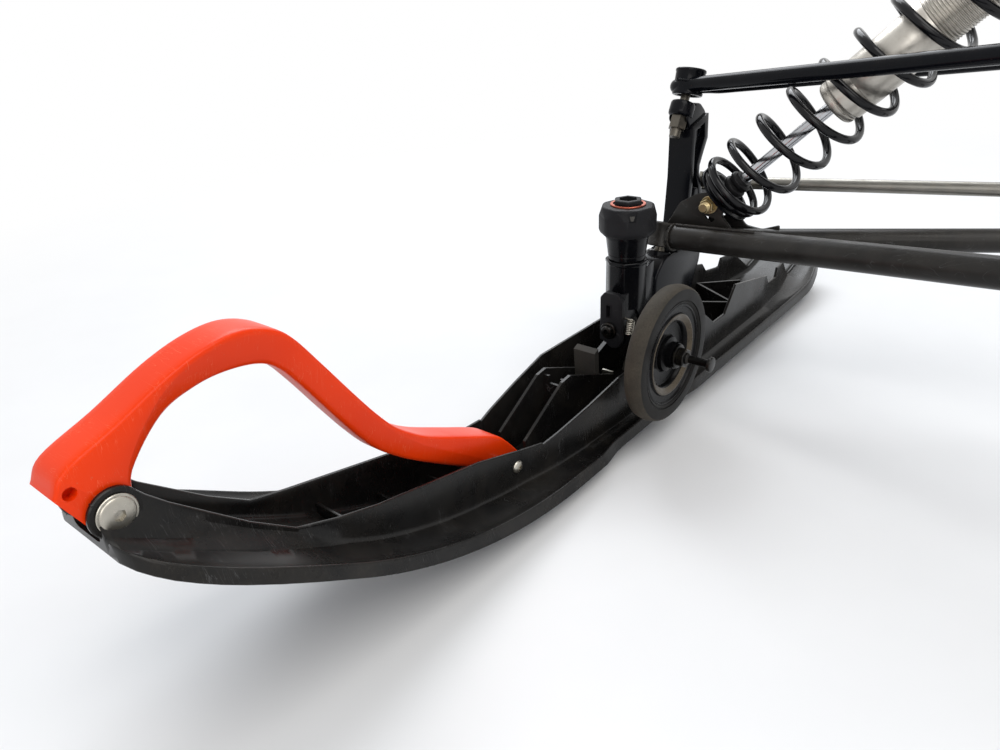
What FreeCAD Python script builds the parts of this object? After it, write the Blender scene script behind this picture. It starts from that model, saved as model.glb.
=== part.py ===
import FreeCAD, Part
import math
import os
from FreeCAD import Vector as V

# Snowmobile front ski with its spindle, A-arms, shock, tie rod and small transport wheel.
# Millimetres. X forward to the ski's tip, Y inboard to the vehicle, Z up.
# Places are written from the ski datum: x = 0 under the adjuster knob, y = 0 on the ski's
# centre plane, z = 0 at the underside of the wear runner.
# The finished pieces are moved so that the lower arm's front pivot is the origin.

# Suspension points
LOWER_BALL = V(-72, 0, 176)
UPPER_BALL = V(-117, 0, 333)
LOWER_FRONT = V(0, 430, 218)
UPPER_FRONT = V(28, 430, 393)
PIVOT_SPREAD = 222.0
PIVOT_RISE_DEG = 6.0
SHOCK_FOOT = V(-93, 53, 215.5)
SHOCK_HEAD = V(-123, 371.5, 524.5)
TIE_OUTER = V(-173, 0, 214)
TIE_INNER = V(-200, 420, 243)
SKI_BOLT = V(-60, 0, 62)

# Arms
LOWER_TUBE_R = 14.0
LOWER_REAR_TUBE_R = 12.0
UPPER_TUBE_R = 7.8
PIVOT_TUBE_R = 15.0
PIVOT_TUBE_LENGTH = 44.0
PIVOT_TUBE_WALL = 3.0
BUSH_BORE_R = 5.05
BUSH_FLANGE_R = 14.0
BUSH_FLANGE_T = 3.0
CUP_R = 15.5
CUP_HEIGHT = 27.0
BALL_R = 10.5
BALL_GAP = 0.05
STUD_R = 6.0
STUD_NECK_R = 5.0
FIT_GAP = 0.05

# Shock
SHOCK_BODY_R = 24.4
SHOCK_CAP_R = 22.9
SHOCK_ROD_R = 6.2
SHOCK_BODY_START = 149.0
SHOCK_EYE_R = 13.0
SHOCK_EYE_WIDTH = 26.0
SHOCK_NECK_R = 9.0
SHOCK_NECK_END = 22.0
SHOCK_BOLT_R = 5.0
SPRING_R = 38.0
SPRING_WIRE_R = 4.1
SPRING_START = 13.0
SPRING_END = 330.0
SPRING_PITCH = 37.6
CLOSED_PITCH = 8.5
CLOSED_TURNS = 1.36
SEAT_TOP = 17.6
SEAT_PLATE_T = 3.0
RUNS_PER_TURN = 14
WIRE_SIDES = 8
# The way from the shock's axis to the wire's lower end
SPRING_END_WAY = V(0.136, -0.688, 0.713)
BRACKET_WALL = 4.0

# Spindle and adjuster
SPINDLE_HALF = 14.0
LEG_HALF = 17.0
SKI_BOLT_R = 6.0
KNOB_ACROSS = 57.0
ADJUSTER_X = 6.0
LEG_FRONT_X = -30.0
KNOB_BASE_Z = 198.0
KNOB_HEIGHT = 31.0
COLLAR_TOP_R = 23.0
COLLAR_BASE_R = 19.5
COLUMN_R = 21.5
COLUMN_TOP_Z = 170.5
POCKET_DEPTH = 5.0

# Tie rod
TIE_ROD_R = 7.0
ROD_END_R = 11.5
ROD_END_WIDTH = 11.0
ROD_END_REACH = 34.0
ROD_SHANK_R = 5.0
ROD_SHANK_SINK = 1.5
EYE_BORE_R = 5.05
TIE_PIN_GAP = 0.09
STEER_ARM_T = 10.0
STEER_ARM_GAP = 2.5

# Ski
FLANGE_Z = 18.0
PAN_T = 5.0
RIM_T = 10.0
RIM_WIDTH = 7.0
WALL_T = 3.5
WALL_HALF = 50.0
BEND_START_X = 200.0
BEND_R = 500.0
BEND_DEG = 32.0
NOSE_X = 588.0
TAIL_X = -487.0
TAIL_BEND_R = 420.0
TAIL_BEND_X = -340.0
HALF_WIDTH = 75.0
WAIST_HALF = 70.4
KEEL_HALF = 13.0
KEEL_DEPTH = 9.0
KEEL_START_X = -330.0
KEEL_END_X = 400.0
KEEL_TAPER = 60.0
RUNNER_R = 5.0
RUNNER_START_X = -270.0
RUNNER_END_X = 180.0
CHEEK_T = 5.0
CHEEK_GAP = 4.0
BOX_HALF = 13.5
BOX_WALL = 3.0
TRUSS_T = 3.0
TRUSS_TOP_RISE = 38.0
SEAT_GAP = 0.2
NOSE_BOLT = V(577, 0, 192)
NOSE_BOLT_R = 5.0
NOSE_HEAD_R = 12.0
NOSE_HEAD_T = 4.0
LOOP_SCREW = V(248.6, 0, 49)
LOOP_SCREW_R = 3.0
LOOP_SCREW_HEAD_R = 6.5
LOOP_SCREW_HEAD_T = 3.0
LOOP_HALF = 15.5
EAR_HALF = 19.5
EAR_R = 15.5
LOOP_EDGE_R = 5.0
CORNER_SHARE = 0.45

# Transport wheel
WHEEL_CENTRE = V(69.2, 85.0, 104.3)
WHEEL_R = 69.5
TREAD_CROWN = 1.0
TYRE_WIDTH = 19.0
TYRE_DEPTH = 18.0
WHEEL_ARM = 42.0
WHEEL_ARM_DROP_DEG = 35.0
WHEEL_ARM_T = 5.0
CRANK_GAP = 4.0
AXLE_R = 5.0
HUB_R = 15.0
BEARING_WALL = 3.0


def moved(shape, x=0.0, y=0.0, z=0.0):
    copy = shape.copy()
    copy.translate(V(x, y, z))
    return copy


def joined(shapes):
    if len(shapes) == 1:
        return shapes[0]
    return shapes[0].multiFuse(shapes[1:]).removeSplitter()


def cut(shape, tools):
    for tool in tools:
        shape = shape.cut(tool)
    return shape


def rod(start, end, radius):
    return Part.makeCylinder(radius, (end - start).Length, start, end - start)


def disc_y(centre, radius, y_low, y_high):
    return Part.makeCylinder(radius, y_high - y_low, V(centre.x, y_low, centre.z), V(0, 1, 0))


def face_of(points):
    return Part.Face(Part.makePolygon(points + [points[0]]))


def prism_xz(points, y_low, y_high):
    return face_of([V(x, y_low, z) for x, z in points]).extrude(V(0, y_high - y_low, 0))


def prism_xy(points, z_low, z_high):
    return face_of([V(x, y, z_low) for x, y in points]).extrude(V(0, 0, z_high - z_low))


def prism_yz(points, x_low, x_high):
    return face_of([V(x_low, y, z) for y, z in points]).extrude(V(x_high - x_low, 0, 0))


def box(x_low, x_high, y_low, y_high, z_low, z_high):
    return Part.makeBox(x_high - x_low, y_high - y_low, z_high - z_low, V(x_low, y_low, z_low))


def along(start, end):
    turn = FreeCAD.Rotation(V(0, 0, 1), end - start)
    return FreeCAD.Placement(start, turn)


def placed(shape, placement):
    copy = shape.copy()
    copy.Placement = placement.multiply(copy.Placement)
    return copy


def turned_profile(points):
    # A solid of revolution about Z from (radius, height) points.
    face = face_of([V(radius, 0, height) for radius, height in points])
    return face.revolve(V(0, 0, 0), V(0, 0, 1), 360)


def polygon_prism(sides, across, height, z_low=0.0):
    corner = across / 2 / math.cos(math.pi / sides)
    points = []
    for i in range(sides):
        angle = 2 * math.pi * (i + 0.5) / sides
        points.append((corner * math.cos(angle), corner * math.sin(angle)))
    return prism_xy(points, z_low, z_low + height)


def ball_stud(centre, axis, neck_end, stud_end, nut_start, nut_height):
    pieces = [
        Part.makeSphere(BALL_R),
        Part.makeCylinder(STUD_NECK_R, neck_end),
        Part.makeCylinder(STUD_R, stud_end - neck_end, V(0, 0, neck_end)),
        polygon_prism(6, 17.0, nut_height, nut_start),
    ]
    return placed(joined(pieces), along(centre, centre + axis))


# Kingpin line, and the two studs' directions
KINGPIN = (UPPER_BALL - LOWER_BALL).normalize()
UPPER_STUD_AXIS = V(0.47, 0, -0.883).normalize()
LOWER_STUD_AXIS = KINGPIN * -1

PIVOT_AXIS = V(math.cos(math.radians(PIVOT_RISE_DEG)), 0, math.sin(math.radians(PIVOT_RISE_DEG)))
LOWER_REAR = LOWER_FRONT - PIVOT_AXIS * PIVOT_SPREAD
UPPER_REAR = UPPER_FRONT - PIVOT_AXIS * (PIVOT_SPREAD + 28)
ORIGIN = LOWER_FRONT


def pivot_ends(centre, length):
    half = PIVOT_AXIS * (length / 2)
    return centre - half, centre + half


def arm_bush(centre):
    # A flanged plastic bush with the bore for the chassis bolt.
    low, high = pivot_ends(centre, PIVOT_TUBE_LENGTH + 2 * BUSH_FLANGE_T)
    local_length = PIVOT_TUBE_LENGTH + 2 * BUSH_FLANGE_T
    body_r = PIVOT_TUBE_R - PIVOT_TUBE_WALL - FIT_GAP
    gap_low = BUSH_FLANGE_T - FIT_GAP
    gap_high = local_length - BUSH_FLANGE_T + FIT_GAP
    local = turned_profile([
        (BUSH_BORE_R, 0), (BUSH_FLANGE_R, 0), (BUSH_FLANGE_R, gap_low), (body_r, gap_low),
        (body_r, gap_high), (BUSH_FLANGE_R, gap_high), (BUSH_FLANGE_R, local_length),
        (BUSH_BORE_R, local_length),
    ])
    return placed(local, along(low, high))


def bracket_plate(x_low, outer_edge):
    # Upright plate beside the shock's eye, as seen from the front: y, z.
    outline = outer_edge + [(52, 229.5), (60, 226), (66, 220), (70, 213), (67, 205), (82, 189), (100, 187),
                            (119, 194), (119, 186), (outer_edge[0][0], 184)]
    plate = prism_yz(outline, x_low, x_low + BRACKET_WALL)
    hole = Part.makeCylinder(SHOCK_BOLT_R + FIT_GAP, 30, V(x_low - 10, SHOCK_FOOT.y, SHOCK_FOOT.z), V(1, 0, 0))
    window = prism_yz([(46, 204), (61, 201), (55, 195)], x_low - 1, x_low + BRACKET_WALL + 1)
    return plate.cut(hole).cut(window)


def make_lower_arm():
    front_root = LOWER_BALL + V(0, 0, -2)
    rear_root = LOWER_BALL + V(-11, 48, -2)
    spread = SHOCK_EYE_WIDTH / 2 + 1
    tubes = [rod(front_root, LOWER_FRONT, LOWER_TUBE_R), rod(rear_root, LOWER_REAR, LOWER_REAR_TUBE_R)]
    for centre in (LOWER_FRONT, LOWER_REAR):
        low, high = pivot_ends(centre, PIVOT_TUBE_LENGTH)
        tubes.append(rod(low, high, PIVOT_TUBE_R))
    tubes.append(placed(Part.makeCylinder(CUP_R + 1, CUP_HEIGHT, V(0, 0, -CUP_HEIGHT / 2)),
                        along(LOWER_BALL, LOWER_BALL + LOWER_STUD_AXIS)))
    tubes.append(bracket_plate(SHOCK_FOOT.x + spread, [(4, 189), (18, 214), (36, 225)]))
    tubes.append(bracket_plate(SHOCK_FOOT.x - spread - BRACKET_WALL, [(38, 205), (38, 222), (44, 227)]))
    # A flat web closes the corner between the two tubes.
    web = prism_xy([(-66, 22), (-55, 118), (-112, 118), (-112, 40), (-84, 40)], 183, 186.5)
    tubes.append(web)
    body = joined(tubes)
    bores = []
    for centre in (LOWER_FRONT, LOWER_REAR):
        low, high = pivot_ends(centre, PIVOT_TUBE_LENGTH + 40)
        bores.append(rod(low, high, PIVOT_TUBE_R - PIVOT_TUBE_WALL))
    seat = placed(Part.makeCylinder(CUP_R - 2.5 + FIT_GAP, CUP_HEIGHT, V(0, 0, -CUP_HEIGHT / 2 + 3)),
                  along(LOWER_BALL, LOWER_BALL + LOWER_STUD_AXIS))
    bores.append(seat)
    return cut(body, bores)


def make_upper_arm():
    front_root = UPPER_BALL + V(6, 0, -2)
    rear_root = UPPER_BALL + V(-14, 30, -4)
    tubes = [rod(front_root, UPPER_FRONT, UPPER_TUBE_R), rod(rear_root, UPPER_REAR, UPPER_TUBE_R)]
    tubes.append(rod(UPPER_BALL + V(-4, 6, -4), rear_root, UPPER_TUBE_R))
    for centre in (UPPER_FRONT, UPPER_REAR):
        low, high = pivot_ends(centre, PIVOT_TUBE_LENGTH)
        tubes.append(rod(low, high, PIVOT_TUBE_R))
    tubes.append(placed(Part.makeCylinder(CUP_R + 1, CUP_HEIGHT, V(0, 0, -CUP_HEIGHT / 2)),
                        along(UPPER_BALL, UPPER_BALL + KINGPIN * -1)))
    body = joined(tubes)
    bores = []
    for centre in (UPPER_FRONT, UPPER_REAR):
        low, high = pivot_ends(centre, PIVOT_TUBE_LENGTH + 40)
        bores.append(rod(low, high, PIVOT_TUBE_R - PIVOT_TUBE_WALL))
    seat = placed(Part.makeCylinder(CUP_R - 2.5 + FIT_GAP, CUP_HEIGHT, V(0, 0, -CUP_HEIGHT / 2 + 3)),
                  along(UPPER_BALL, UPPER_BALL + KINGPIN * -1))
    bores.append(seat)
    return cut(body, bores)


def joint_liner(centre, axis):
    # The plastic race pressed into the arm's cup, round the ball.
    outer_r = CUP_R - 2.5
    height = CUP_HEIGHT - 3
    local = Part.makeCylinder(outer_r, height - FIT_GAP, V(0, 0, -CUP_HEIGHT / 2 + 3 + FIT_GAP))
    local = local.cut(Part.makeSphere(BALL_R + BALL_GAP))
    local = local.cut(Part.makeCone(BALL_R * 0.62, outer_r - 1, CUP_HEIGHT / 2 - 4, V(0, 0, 5)))
    return placed(local, along(centre, centre + axis))


def make_shock_parts():
    place = along(SHOCK_FOOT, SHOCK_HEAD)
    length = (SHOCK_HEAD - SHOCK_FOOT).Length
    bolt_axis = place.Rotation.inverted().multVec(V(1, 0, 0))
    parts = {}
    eye = Part.makeCylinder(SHOCK_EYE_R, SHOCK_EYE_WIDTH, bolt_axis * (-SHOCK_EYE_WIDTH / 2), bolt_axis)
    hole = Part.makeCylinder(SHOCK_BOLT_R + FIT_GAP, 2 * SHOCK_EYE_WIDTH, bolt_axis * -SHOCK_EYE_WIDTH, bolt_axis)
    neck = Part.makeCylinder(SHOCK_NECK_R, SHOCK_NECK_END - 6, V(0, 0, 6))
    shaft = Part.makeCylinder(SHOCK_ROD_R, SHOCK_BODY_START - 10, V(0, 0, 20))
    parts["shock_rod"] = joined([eye, neck, shaft]).cut(hole)
    # The spring's seat is a hat that stands over the eye and its two plates.
    seat_r = SPRING_R + SPRING_WIRE_R
    seat_low = SPRING_START - SEAT_PLATE_T
    neck_r = SHOCK_NECK_R + FIT_GAP
    seat = turned_profile([
        (neck_r, SEAT_TOP - 2), (22.5, SEAT_TOP - 2), (25.5, SEAT_TOP - 6), (25.5, seat_low), (seat_r, seat_low),
        (seat_r, SPRING_START - FIT_GAP), (27.5, SPRING_START - FIT_GAP), (27.5, SEAT_TOP - 4), (24, SEAT_TOP),
        (neck_r, SEAT_TOP),
    ])
    parts["shock_spring_seat"] = seat
    bump_low = SHOCK_NECK_END + FIT_GAP
    bump = turned_profile([
        (SHOCK_ROD_R + FIT_GAP, bump_low), (12, bump_low), (13, bump_low + 5), (10.5, bump_low + 8),
        (12.5, bump_low + 12), (9.5, bump_low + 17), (SHOCK_ROD_R + FIT_GAP, bump_low + 17),
    ])
    parts["shock_bump_stop"] = bump
    start = SHOCK_BODY_START
    body = turned_profile([
        (0, start + 10), (SHOCK_ROD_R + FIT_GAP, start + 10), (SHOCK_ROD_R + FIT_GAP, start),
        (SHOCK_CAP_R - 2, start), (SHOCK_CAP_R, start + 2), (SHOCK_CAP_R, start + 7),
        (SHOCK_BODY_R, start + 10), (SHOCK_BODY_R, length - 40), (14, length - 26), (12, length - 10),
        (0, length - 10),
    ])
    top_eye = Part.makeCylinder(SHOCK_EYE_R, SHOCK_EYE_WIDTH, V(0, 0, length) - bolt_axis * (SHOCK_EYE_WIDTH / 2),
                                bolt_axis)
    top = V(0, 0, length)
    top_hole = Part.makeCylinder(8, 2 * SHOCK_EYE_WIDTH, top - bolt_axis * SHOCK_EYE_WIDTH, bolt_axis)
    parts["shock_body"] = joined([body, top_eye]).cut(top_hole)
    bush = Part.makeCylinder(8 - FIT_GAP, SHOCK_EYE_WIDTH + 4, top - bolt_axis * (SHOCK_EYE_WIDTH / 2 + 2),
                             bolt_axis)
    bush = bush.cut(Part.makeCylinder(SHOCK_BOLT_R + FIT_GAP, 2 * SHOCK_EYE_WIDTH,
                                      top - bolt_axis * SHOCK_EYE_WIDTH, bolt_axis))
    parts["shock_top_bush"] = bush
    ring_low = SPRING_END + 0.3
    parts["shock_preload_ring"] = turned_profile([
        (SHOCK_BODY_R + FIT_GAP, ring_low), (SPRING_R + SPRING_WIRE_R + 1, ring_low),
        (SPRING_R + SPRING_WIRE_R + 1, ring_low + 8), (SHOCK_BODY_R + FIT_GAP, ring_low + 12),
    ])
    parts["shock_spring"] = make_spring()
    for name in parts:
        parts[name] = placed(parts[name], place)
    return parts


def spring_rise(turn):
    # Height of the wire's centre after so many turns: closed coils, then open ones.
    if turn < CLOSED_TURNS:
        return CLOSED_PITCH * turn
    return CLOSED_PITCH * CLOSED_TURNS + SPRING_PITCH * (turn - CLOSED_TURNS)


def wire_section(turn):
    angle = 2 * math.pi * turn
    outward = V(math.cos(angle), math.sin(angle), 0)
    pitch = CLOSED_PITCH if turn < CLOSED_TURNS else SPRING_PITCH
    around = V(-math.sin(angle), math.cos(angle), pitch / (2 * math.pi * SPRING_R)).normalize()
    upward = around.cross(outward)
    centre = outward * SPRING_R + V(0, 0, spring_rise(turn))
    points = []
    for i in range(WIRE_SIDES):
        a = 2 * math.pi * i / WIRE_SIDES
        points.append(centre + outward * (SPRING_WIRE_R * math.cos(a)) + upward * (SPRING_WIRE_R * math.sin(a)))
    return Part.makePolygon(points + [points[0]])


def make_spring():
    # The wire is lofted through short sections along its coils.
    travel = SPRING_END - SPRING_START - 2 * SPRING_WIRE_R
    turns = CLOSED_TURNS + (travel - CLOSED_PITCH * CLOSED_TURNS) / SPRING_PITCH
    count = int(round(turns * RUNS_PER_TURN))
    sections = [wire_section(turns * i / count) for i in range(count + 1)]
    coil = Part.makeLoft(sections, True, True)
    start_way = along(SHOCK_FOOT, SHOCK_HEAD).Rotation.inverted().multVec(SPRING_END_WAY)
    coil.rotate(V(0, 0, 0), V(0, 0, 1), math.degrees(math.atan2(start_way.y, start_way.x)))
    return moved(coil, z=SPRING_START + SPRING_WIRE_R)


def make_shock_bolt():
    reach = SHOCK_EYE_WIDTH / 2 + 1 + BRACKET_WALL
    centre = SHOCK_FOOT
    shank = Part.makeCylinder(SHOCK_BOLT_R, 2 * reach + 16, centre - V(reach + 6, 0, 0), V(1, 0, 0))
    pieces = [shank]
    for side in (1, -1):
        washer = Part.makeCylinder(9.5, 1.8, centre + V(side * (reach + FIT_GAP), 0, 0), V(side, 0, 0))
        head = placed(polygon_prism(6, 14.0, 7.5), along(centre + V(side * (reach + 1.8), 0, 0),
                                                        centre + V(side * (reach + 20), 0, 0)))
        pieces += [washer, head]
    return joined(pieces)


def make_spindle():
    # C-shaped forging: top boss, rear column, lower boss and the ski leg.
    top = UPPER_BALL + UPPER_STUD_AXIS * 22
    boss_end = UPPER_BALL + UPPER_STUD_AXIS * 38
    boss = rod(top, boss_end, 13.5)
    shoulder = prism_xz([(-113, 312), (-125, 312), (-141, 300), (-141, 282), (-106, 284), (-92, 300)], -11, 11)
    column = prism_xz([
        (-104, 290), (-141, 299), (-143, 272), (-134, 257), (-127, 244), (-127, 236), (-134, 222), (-140, 200),
        (-133, 130), (-96, 130), (-97, 165), (-100, 190), (-104, 232),
    ], -SPINDLE_HALF, SPINDLE_HALF)
    # Pockets on both sides leave the column an I-section.
    pocket = prism_xz([
        (-112, 284), (-133, 290), (-135, 274), (-127, 260), (-119, 245), (-119, 235), (-127, 220), (-131, 200),
        (-128, 176), (-106, 176), (-109, 192), (-113, 232),
    ], SPINDLE_HALF - POCKET_DEPTH, 2 * SPINDLE_HALF)
    column = column.cut(pocket).cut(mirrored(pocket))
    lower_boss = rod(LOWER_BALL + LOWER_STUD_AXIS * 18.5, LOWER_BALL + LOWER_STUD_AXIS * 36, 14)
    leg = prism_xz([
        (-138, 158), (-96, 158), (-84, 157), (-48, 157), (-30, 140), (-30, 96), (-42, 62), (-46, 48), (-60, 42),
        (-76, 48), (-86, 62), (-118, 96), (-138, 132),
    ], -LEG_HALF, LEG_HALF)
    # The steering arm lies square to the kingpin line, like the tie rod's bolt.
    arm_low = -ROD_END_WIDTH / 2 - STEER_ARM_GAP - STEER_ARM_T
    reach = TIE_OUTER.x + 118
    steer_arm = joined([
        prism_xy([(-reach, -SPINDLE_HALF), (-reach, SPINDLE_HALF), (0, 10), (0, -10)], arm_low,
                 arm_low + STEER_ARM_T),
        Part.makeCylinder(12, STEER_ARM_T, V(0, 0, arm_low)),
    ])
    steer_arm = placed(steer_arm, along(TIE_OUTER, TIE_OUTER + KINGPIN))
    body = joined([boss, shoulder, column, lower_boss, leg, steer_arm])
    stud_hole = rod(UPPER_BALL, UPPER_BALL + UPPER_STUD_AXIS * 60, STUD_R + FIT_GAP)
    lower_hole = rod(LOWER_BALL, LOWER_BALL + LOWER_STUD_AXIS * 60, STUD_R + FIT_GAP)
    nut_room = rod(LOWER_BALL + LOWER_STUD_AXIS * 36, LOWER_BALL + LOWER_STUD_AXIS * 58, 11.5)
    cup_room = rod(LOWER_BALL, LOWER_BALL + LOWER_STUD_AXIS * 18.5, CUP_R + 5)
    ski_hole = disc_y(SKI_BOLT, SKI_BOLT_R + 0.05, -LEG_HALF - 1, LEG_HALF + 1)
    tie_hole = rod(TIE_OUTER, TIE_OUTER - KINGPIN * (4 * STEER_ARM_T), EYE_BORE_R)
    upper_room = rod(boss_end, UPPER_BALL + UPPER_STUD_AXIS * 66, 10.5)
    return cut(body, [stud_hole, lower_hole, nut_room, upper_room, cup_room, ski_hole, tie_hole])


def make_column():
    # The adjuster's upright housing, standing in front of the ski leg.
    barrel = Part.makeCylinder(COLUMN_R, COLUMN_TOP_Z - 120, V(0, 0, 120))
    block = prism_xz([(-20, 78), (26, 78), (26, 150), (-20, 150)], -15, 15)
    leg_side = LEG_FRONT_X + 0.3 - ADJUSTER_X
    gusset = prism_xz([(leg_side, 96), (-10, 96), (-10, 162), (leg_side, 138)], -15, 15)
    body = joined([barrel, block, gusset])
    bolt_hole = Part.makeCylinder(4.05, 60, V(0, 0, 98), V(1, 0, 0))
    return body.cut(bolt_hole)


def make_collar():
    return turned_profile([
        (0, COLUMN_TOP_Z + FIT_GAP), (COLLAR_BASE_R, COLUMN_TOP_Z + FIT_GAP), (COLLAR_TOP_R, KNOB_BASE_Z),
        (0, KNOB_BASE_Z),
    ])


def make_knob():
    base = KNOB_BASE_Z + FIT_GAP
    body = polygon_prism(8, KNOB_ACROSS, KNOB_HEIGHT, base)
    skirt = Part.makeCone(KNOB_ACROSS * 0.5, KNOB_ACROSS * 0.62, KNOB_HEIGHT * 0.4, V(0, 0, base - 1))
    crown = Part.makeCone(KNOB_ACROSS * 0.56, KNOB_ACROSS * 0.36, 10, V(0, 0, base + KNOB_HEIGHT - 10))
    middle = Part.makeCylinder(KNOB_ACROSS, KNOB_HEIGHT * 0.6 - 8, V(0, 0, base + KNOB_HEIGHT * 0.35))
    body = body.common(joined([skirt, middle, crown]))
    socket = Part.makeCylinder(15.5, 6, V(0, 0, base + KNOB_HEIGHT - 4))
    return body.cut(socket)


def make_knob_hex():
    base = KNOB_BASE_Z + KNOB_HEIGHT - 4 + 2 * FIT_GAP
    ring = Part.makeCylinder(15.2, 3, V(0, 0, base))
    top = polygon_prism(6, 26, 6, base + 3)
    recess = polygon_prism(6, 15, 8, base + 4)
    return joined([ring, top]).cut(recess)


def make_lever():
    outline = [(-12, 84), (13, 84), (15, 90), (15, 132), (9, 140), (-7, 140), (-12, 134)]
    plate = prism_yz(outline, 26 + FIT_GAP, 33)
    cam = Part.makeCylinder(10.5, 7 - FIT_GAP, V(26 + FIT_GAP, 3, 86), V(1, 0, 0))
    plate = joined([plate, cam])
    slot = prism_yz([(-6, 112), (2, 112), (2, 127), (-6, 127)], 25, 34)
    hole = Part.makeCylinder(4.05, 60, V(0, 0, 98), V(1, 0, 0))
    return plate.cut(slot).cut(hole)


def make_lever_bolt():
    head = Part.makeCylinder(9.5, 7, V(33 + FIT_GAP, 0, 98), V(1, 0, 0))
    shank = Part.makeCylinder(4, 33, V(5, 0, 98), V(1, 0, 0))
    socket = Part.makeCylinder(3.5, 4, V(36.5 + FIT_GAP, 0, 98), V(1, 0, 0))
    return joined([head, shank]).cut(socket)


def ski_strip(low, high):
    # The region between two offsets above the underside's curve, as a side view.
    angle = math.radians(BEND_DEG)
    tail_angle = math.asin((TAIL_BEND_X - TAIL_X) / TAIL_BEND_R)
    centre = V(BEND_START_X, 0, FLANGE_Z + BEND_R)
    tail_centre = V(TAIL_BEND_X, 0, FLANGE_Z + TAIL_BEND_R)

    def on_bend(offset, a):
        return centre + V(math.sin(a), 0, -math.cos(a)) * (BEND_R - offset)

    def on_tail(offset, a):
        return tail_centre + V(-math.sin(a), 0, -math.cos(a)) * (TAIL_BEND_R - offset)

    rise_way = V(math.cos(angle), 0, math.sin(angle))
    rise = (NOSE_X + 20 - on_bend(0, angle).x) / rise_way.x
    edges = []
    ends = []
    for offset in (low, high):
        tail_end = on_tail(offset, tail_angle)
        tail_start = on_tail(offset, 0)
        bend_start = on_bend(offset, 0)
        bend_end = on_bend(offset, angle)
        nose = bend_end + rise_way * rise
        edges.append(Part.Arc(tail_end, on_tail(offset, tail_angle / 2), tail_start).toShape())
        edges.append(Part.LineSegment(tail_start, bend_start).toShape())
        edges.append(Part.Arc(bend_start, on_bend(offset, angle / 2), bend_end).toShape())
        edges.append(Part.LineSegment(bend_end, nose).toShape())
        ends.append((tail_end, nose))
    edges.append(Part.LineSegment(ends[0][0], ends[1][0]).toShape())
    edges.append(Part.LineSegment(ends[0][1], ends[1][1]).toShape())
    face = Part.Face(Part.Wire(Part.__sortEdges__(edges)))
    strip = face.extrude(V(0, 4 * HALF_WIDTH, 0))
    return moved(strip, y=-2 * HALF_WIDTH)


# Ski from above: x, half width
SKI_PLAN = [
    (TAIL_X, 30.0), (-478.0, 47.0), (-465.0, 56.0), (-450.0, 62.0), (-417.0, 70.5), (-385.0, HALF_WIDTH),
    (-24.0, HALF_WIDTH), (0.0, WAIST_HALF), (136.0, WAIST_HALF), (160.0, HALF_WIDTH), (505.0, HALF_WIDTH),
    (540.0, 71.5), (560.0, 66.0), (573.0, 58.0), (583.0, 46.0), (NOSE_X, 32.0),
]
# Side walls' outer faces from above: x, distance from the centre plane
WALL_PLAN = [
    (-405.0, 32.0), (-347.0, 42.0), (-272.0, 49.0), (-100.0, WALL_HALF), (99.0, WALL_HALF), (149.0, 47.0),
    (195.0, 42.5), (240.0, 35.5), (296.0, 32.5), (370.0, 33.0), (408.0, 33.5), (444.0, 31.5), (476.0, 28.5),
    (505.0, 25.5), (548.0, EAR_HALF), (NOSE_X, EAR_HALF),
]
# Side walls' top edge from the tail to the nose: x, height above the underside
WALL_RISE = [
    (-405.0, 12.0), (-366.0, 46.0), (-334.0, 48.0), (-329.0, 36.0), (-293.0, 40.0), (-282.0, 53.0),
    (-177.0, 74.0), (-150.0, 44.0), (-120.0, 44.0), (-95.0, 62.0), (98.0, 62.0), (214.0, 38.5), (218.0, 40.5),
    (242.0, 43.5), (296.0, 51.0), (408.0, 39.0), (444.0, 30.0), (475.0, 21.0), (505.0, 24.5), (548.0, 36.0),
    (566.0, 44.0), (NOSE_X, 12.0),
]
# Zigzag web between the walls behind the leg: x, y
TRUSS = [(-286.0, 8.0), (-246.0, -34.0), (-206.0, 34.0), (-166.0, -34.0)]
SWEEP_STEP = 20.0


def underside(x):
    # Height of the ski's underside.
    bend = math.radians(BEND_DEG)
    bend_run = BEND_R * math.sin(bend)
    tail = max(TAIL_BEND_X - x, 0.0)
    along_bend = min(max(x - BEND_START_X, 0.0), bend_run)
    along_nose = max(x - BEND_START_X - bend_run, 0.0)
    tail_rise = TAIL_BEND_R - math.sqrt(TAIL_BEND_R ** 2 - tail ** 2)
    return FLANGE_Z + tail_rise + BEND_R - math.sqrt(BEND_R ** 2 - along_bend ** 2) + along_nose * math.tan(bend)


def wall_y(x):
    # Distance of the side wall's outer face from the centre plane.
    for (x_low, y_low), (x_high, y_high) in zip(WALL_PLAN[:-1], WALL_PLAN[1:]):
        if x_low <= x <= x_high:
            return y_low + (y_high - y_low) * (x - x_low) / (x_high - x_low)
    raise ValueError("no side wall at x = " + str(x))


def plan_between(outer, inner):
    return prism_xy(outer + list(reversed(inner)), -2 * KEEL_DEPTH, 2 * NOSE_BOLT.z)


def both_sides(outline):
    return outline + [(x, -y) for x, y in reversed(outline)]


def mirrored(shape):
    return shape.mirror(V(0, 0, 0), V(0, 1, 0))


def above_pan(shape):
    # What stands on the pan ends a seating gap above its top.
    return shape.cut(ski_strip(-2 * PAN_T, PAN_T + SEAT_GAP))


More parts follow.
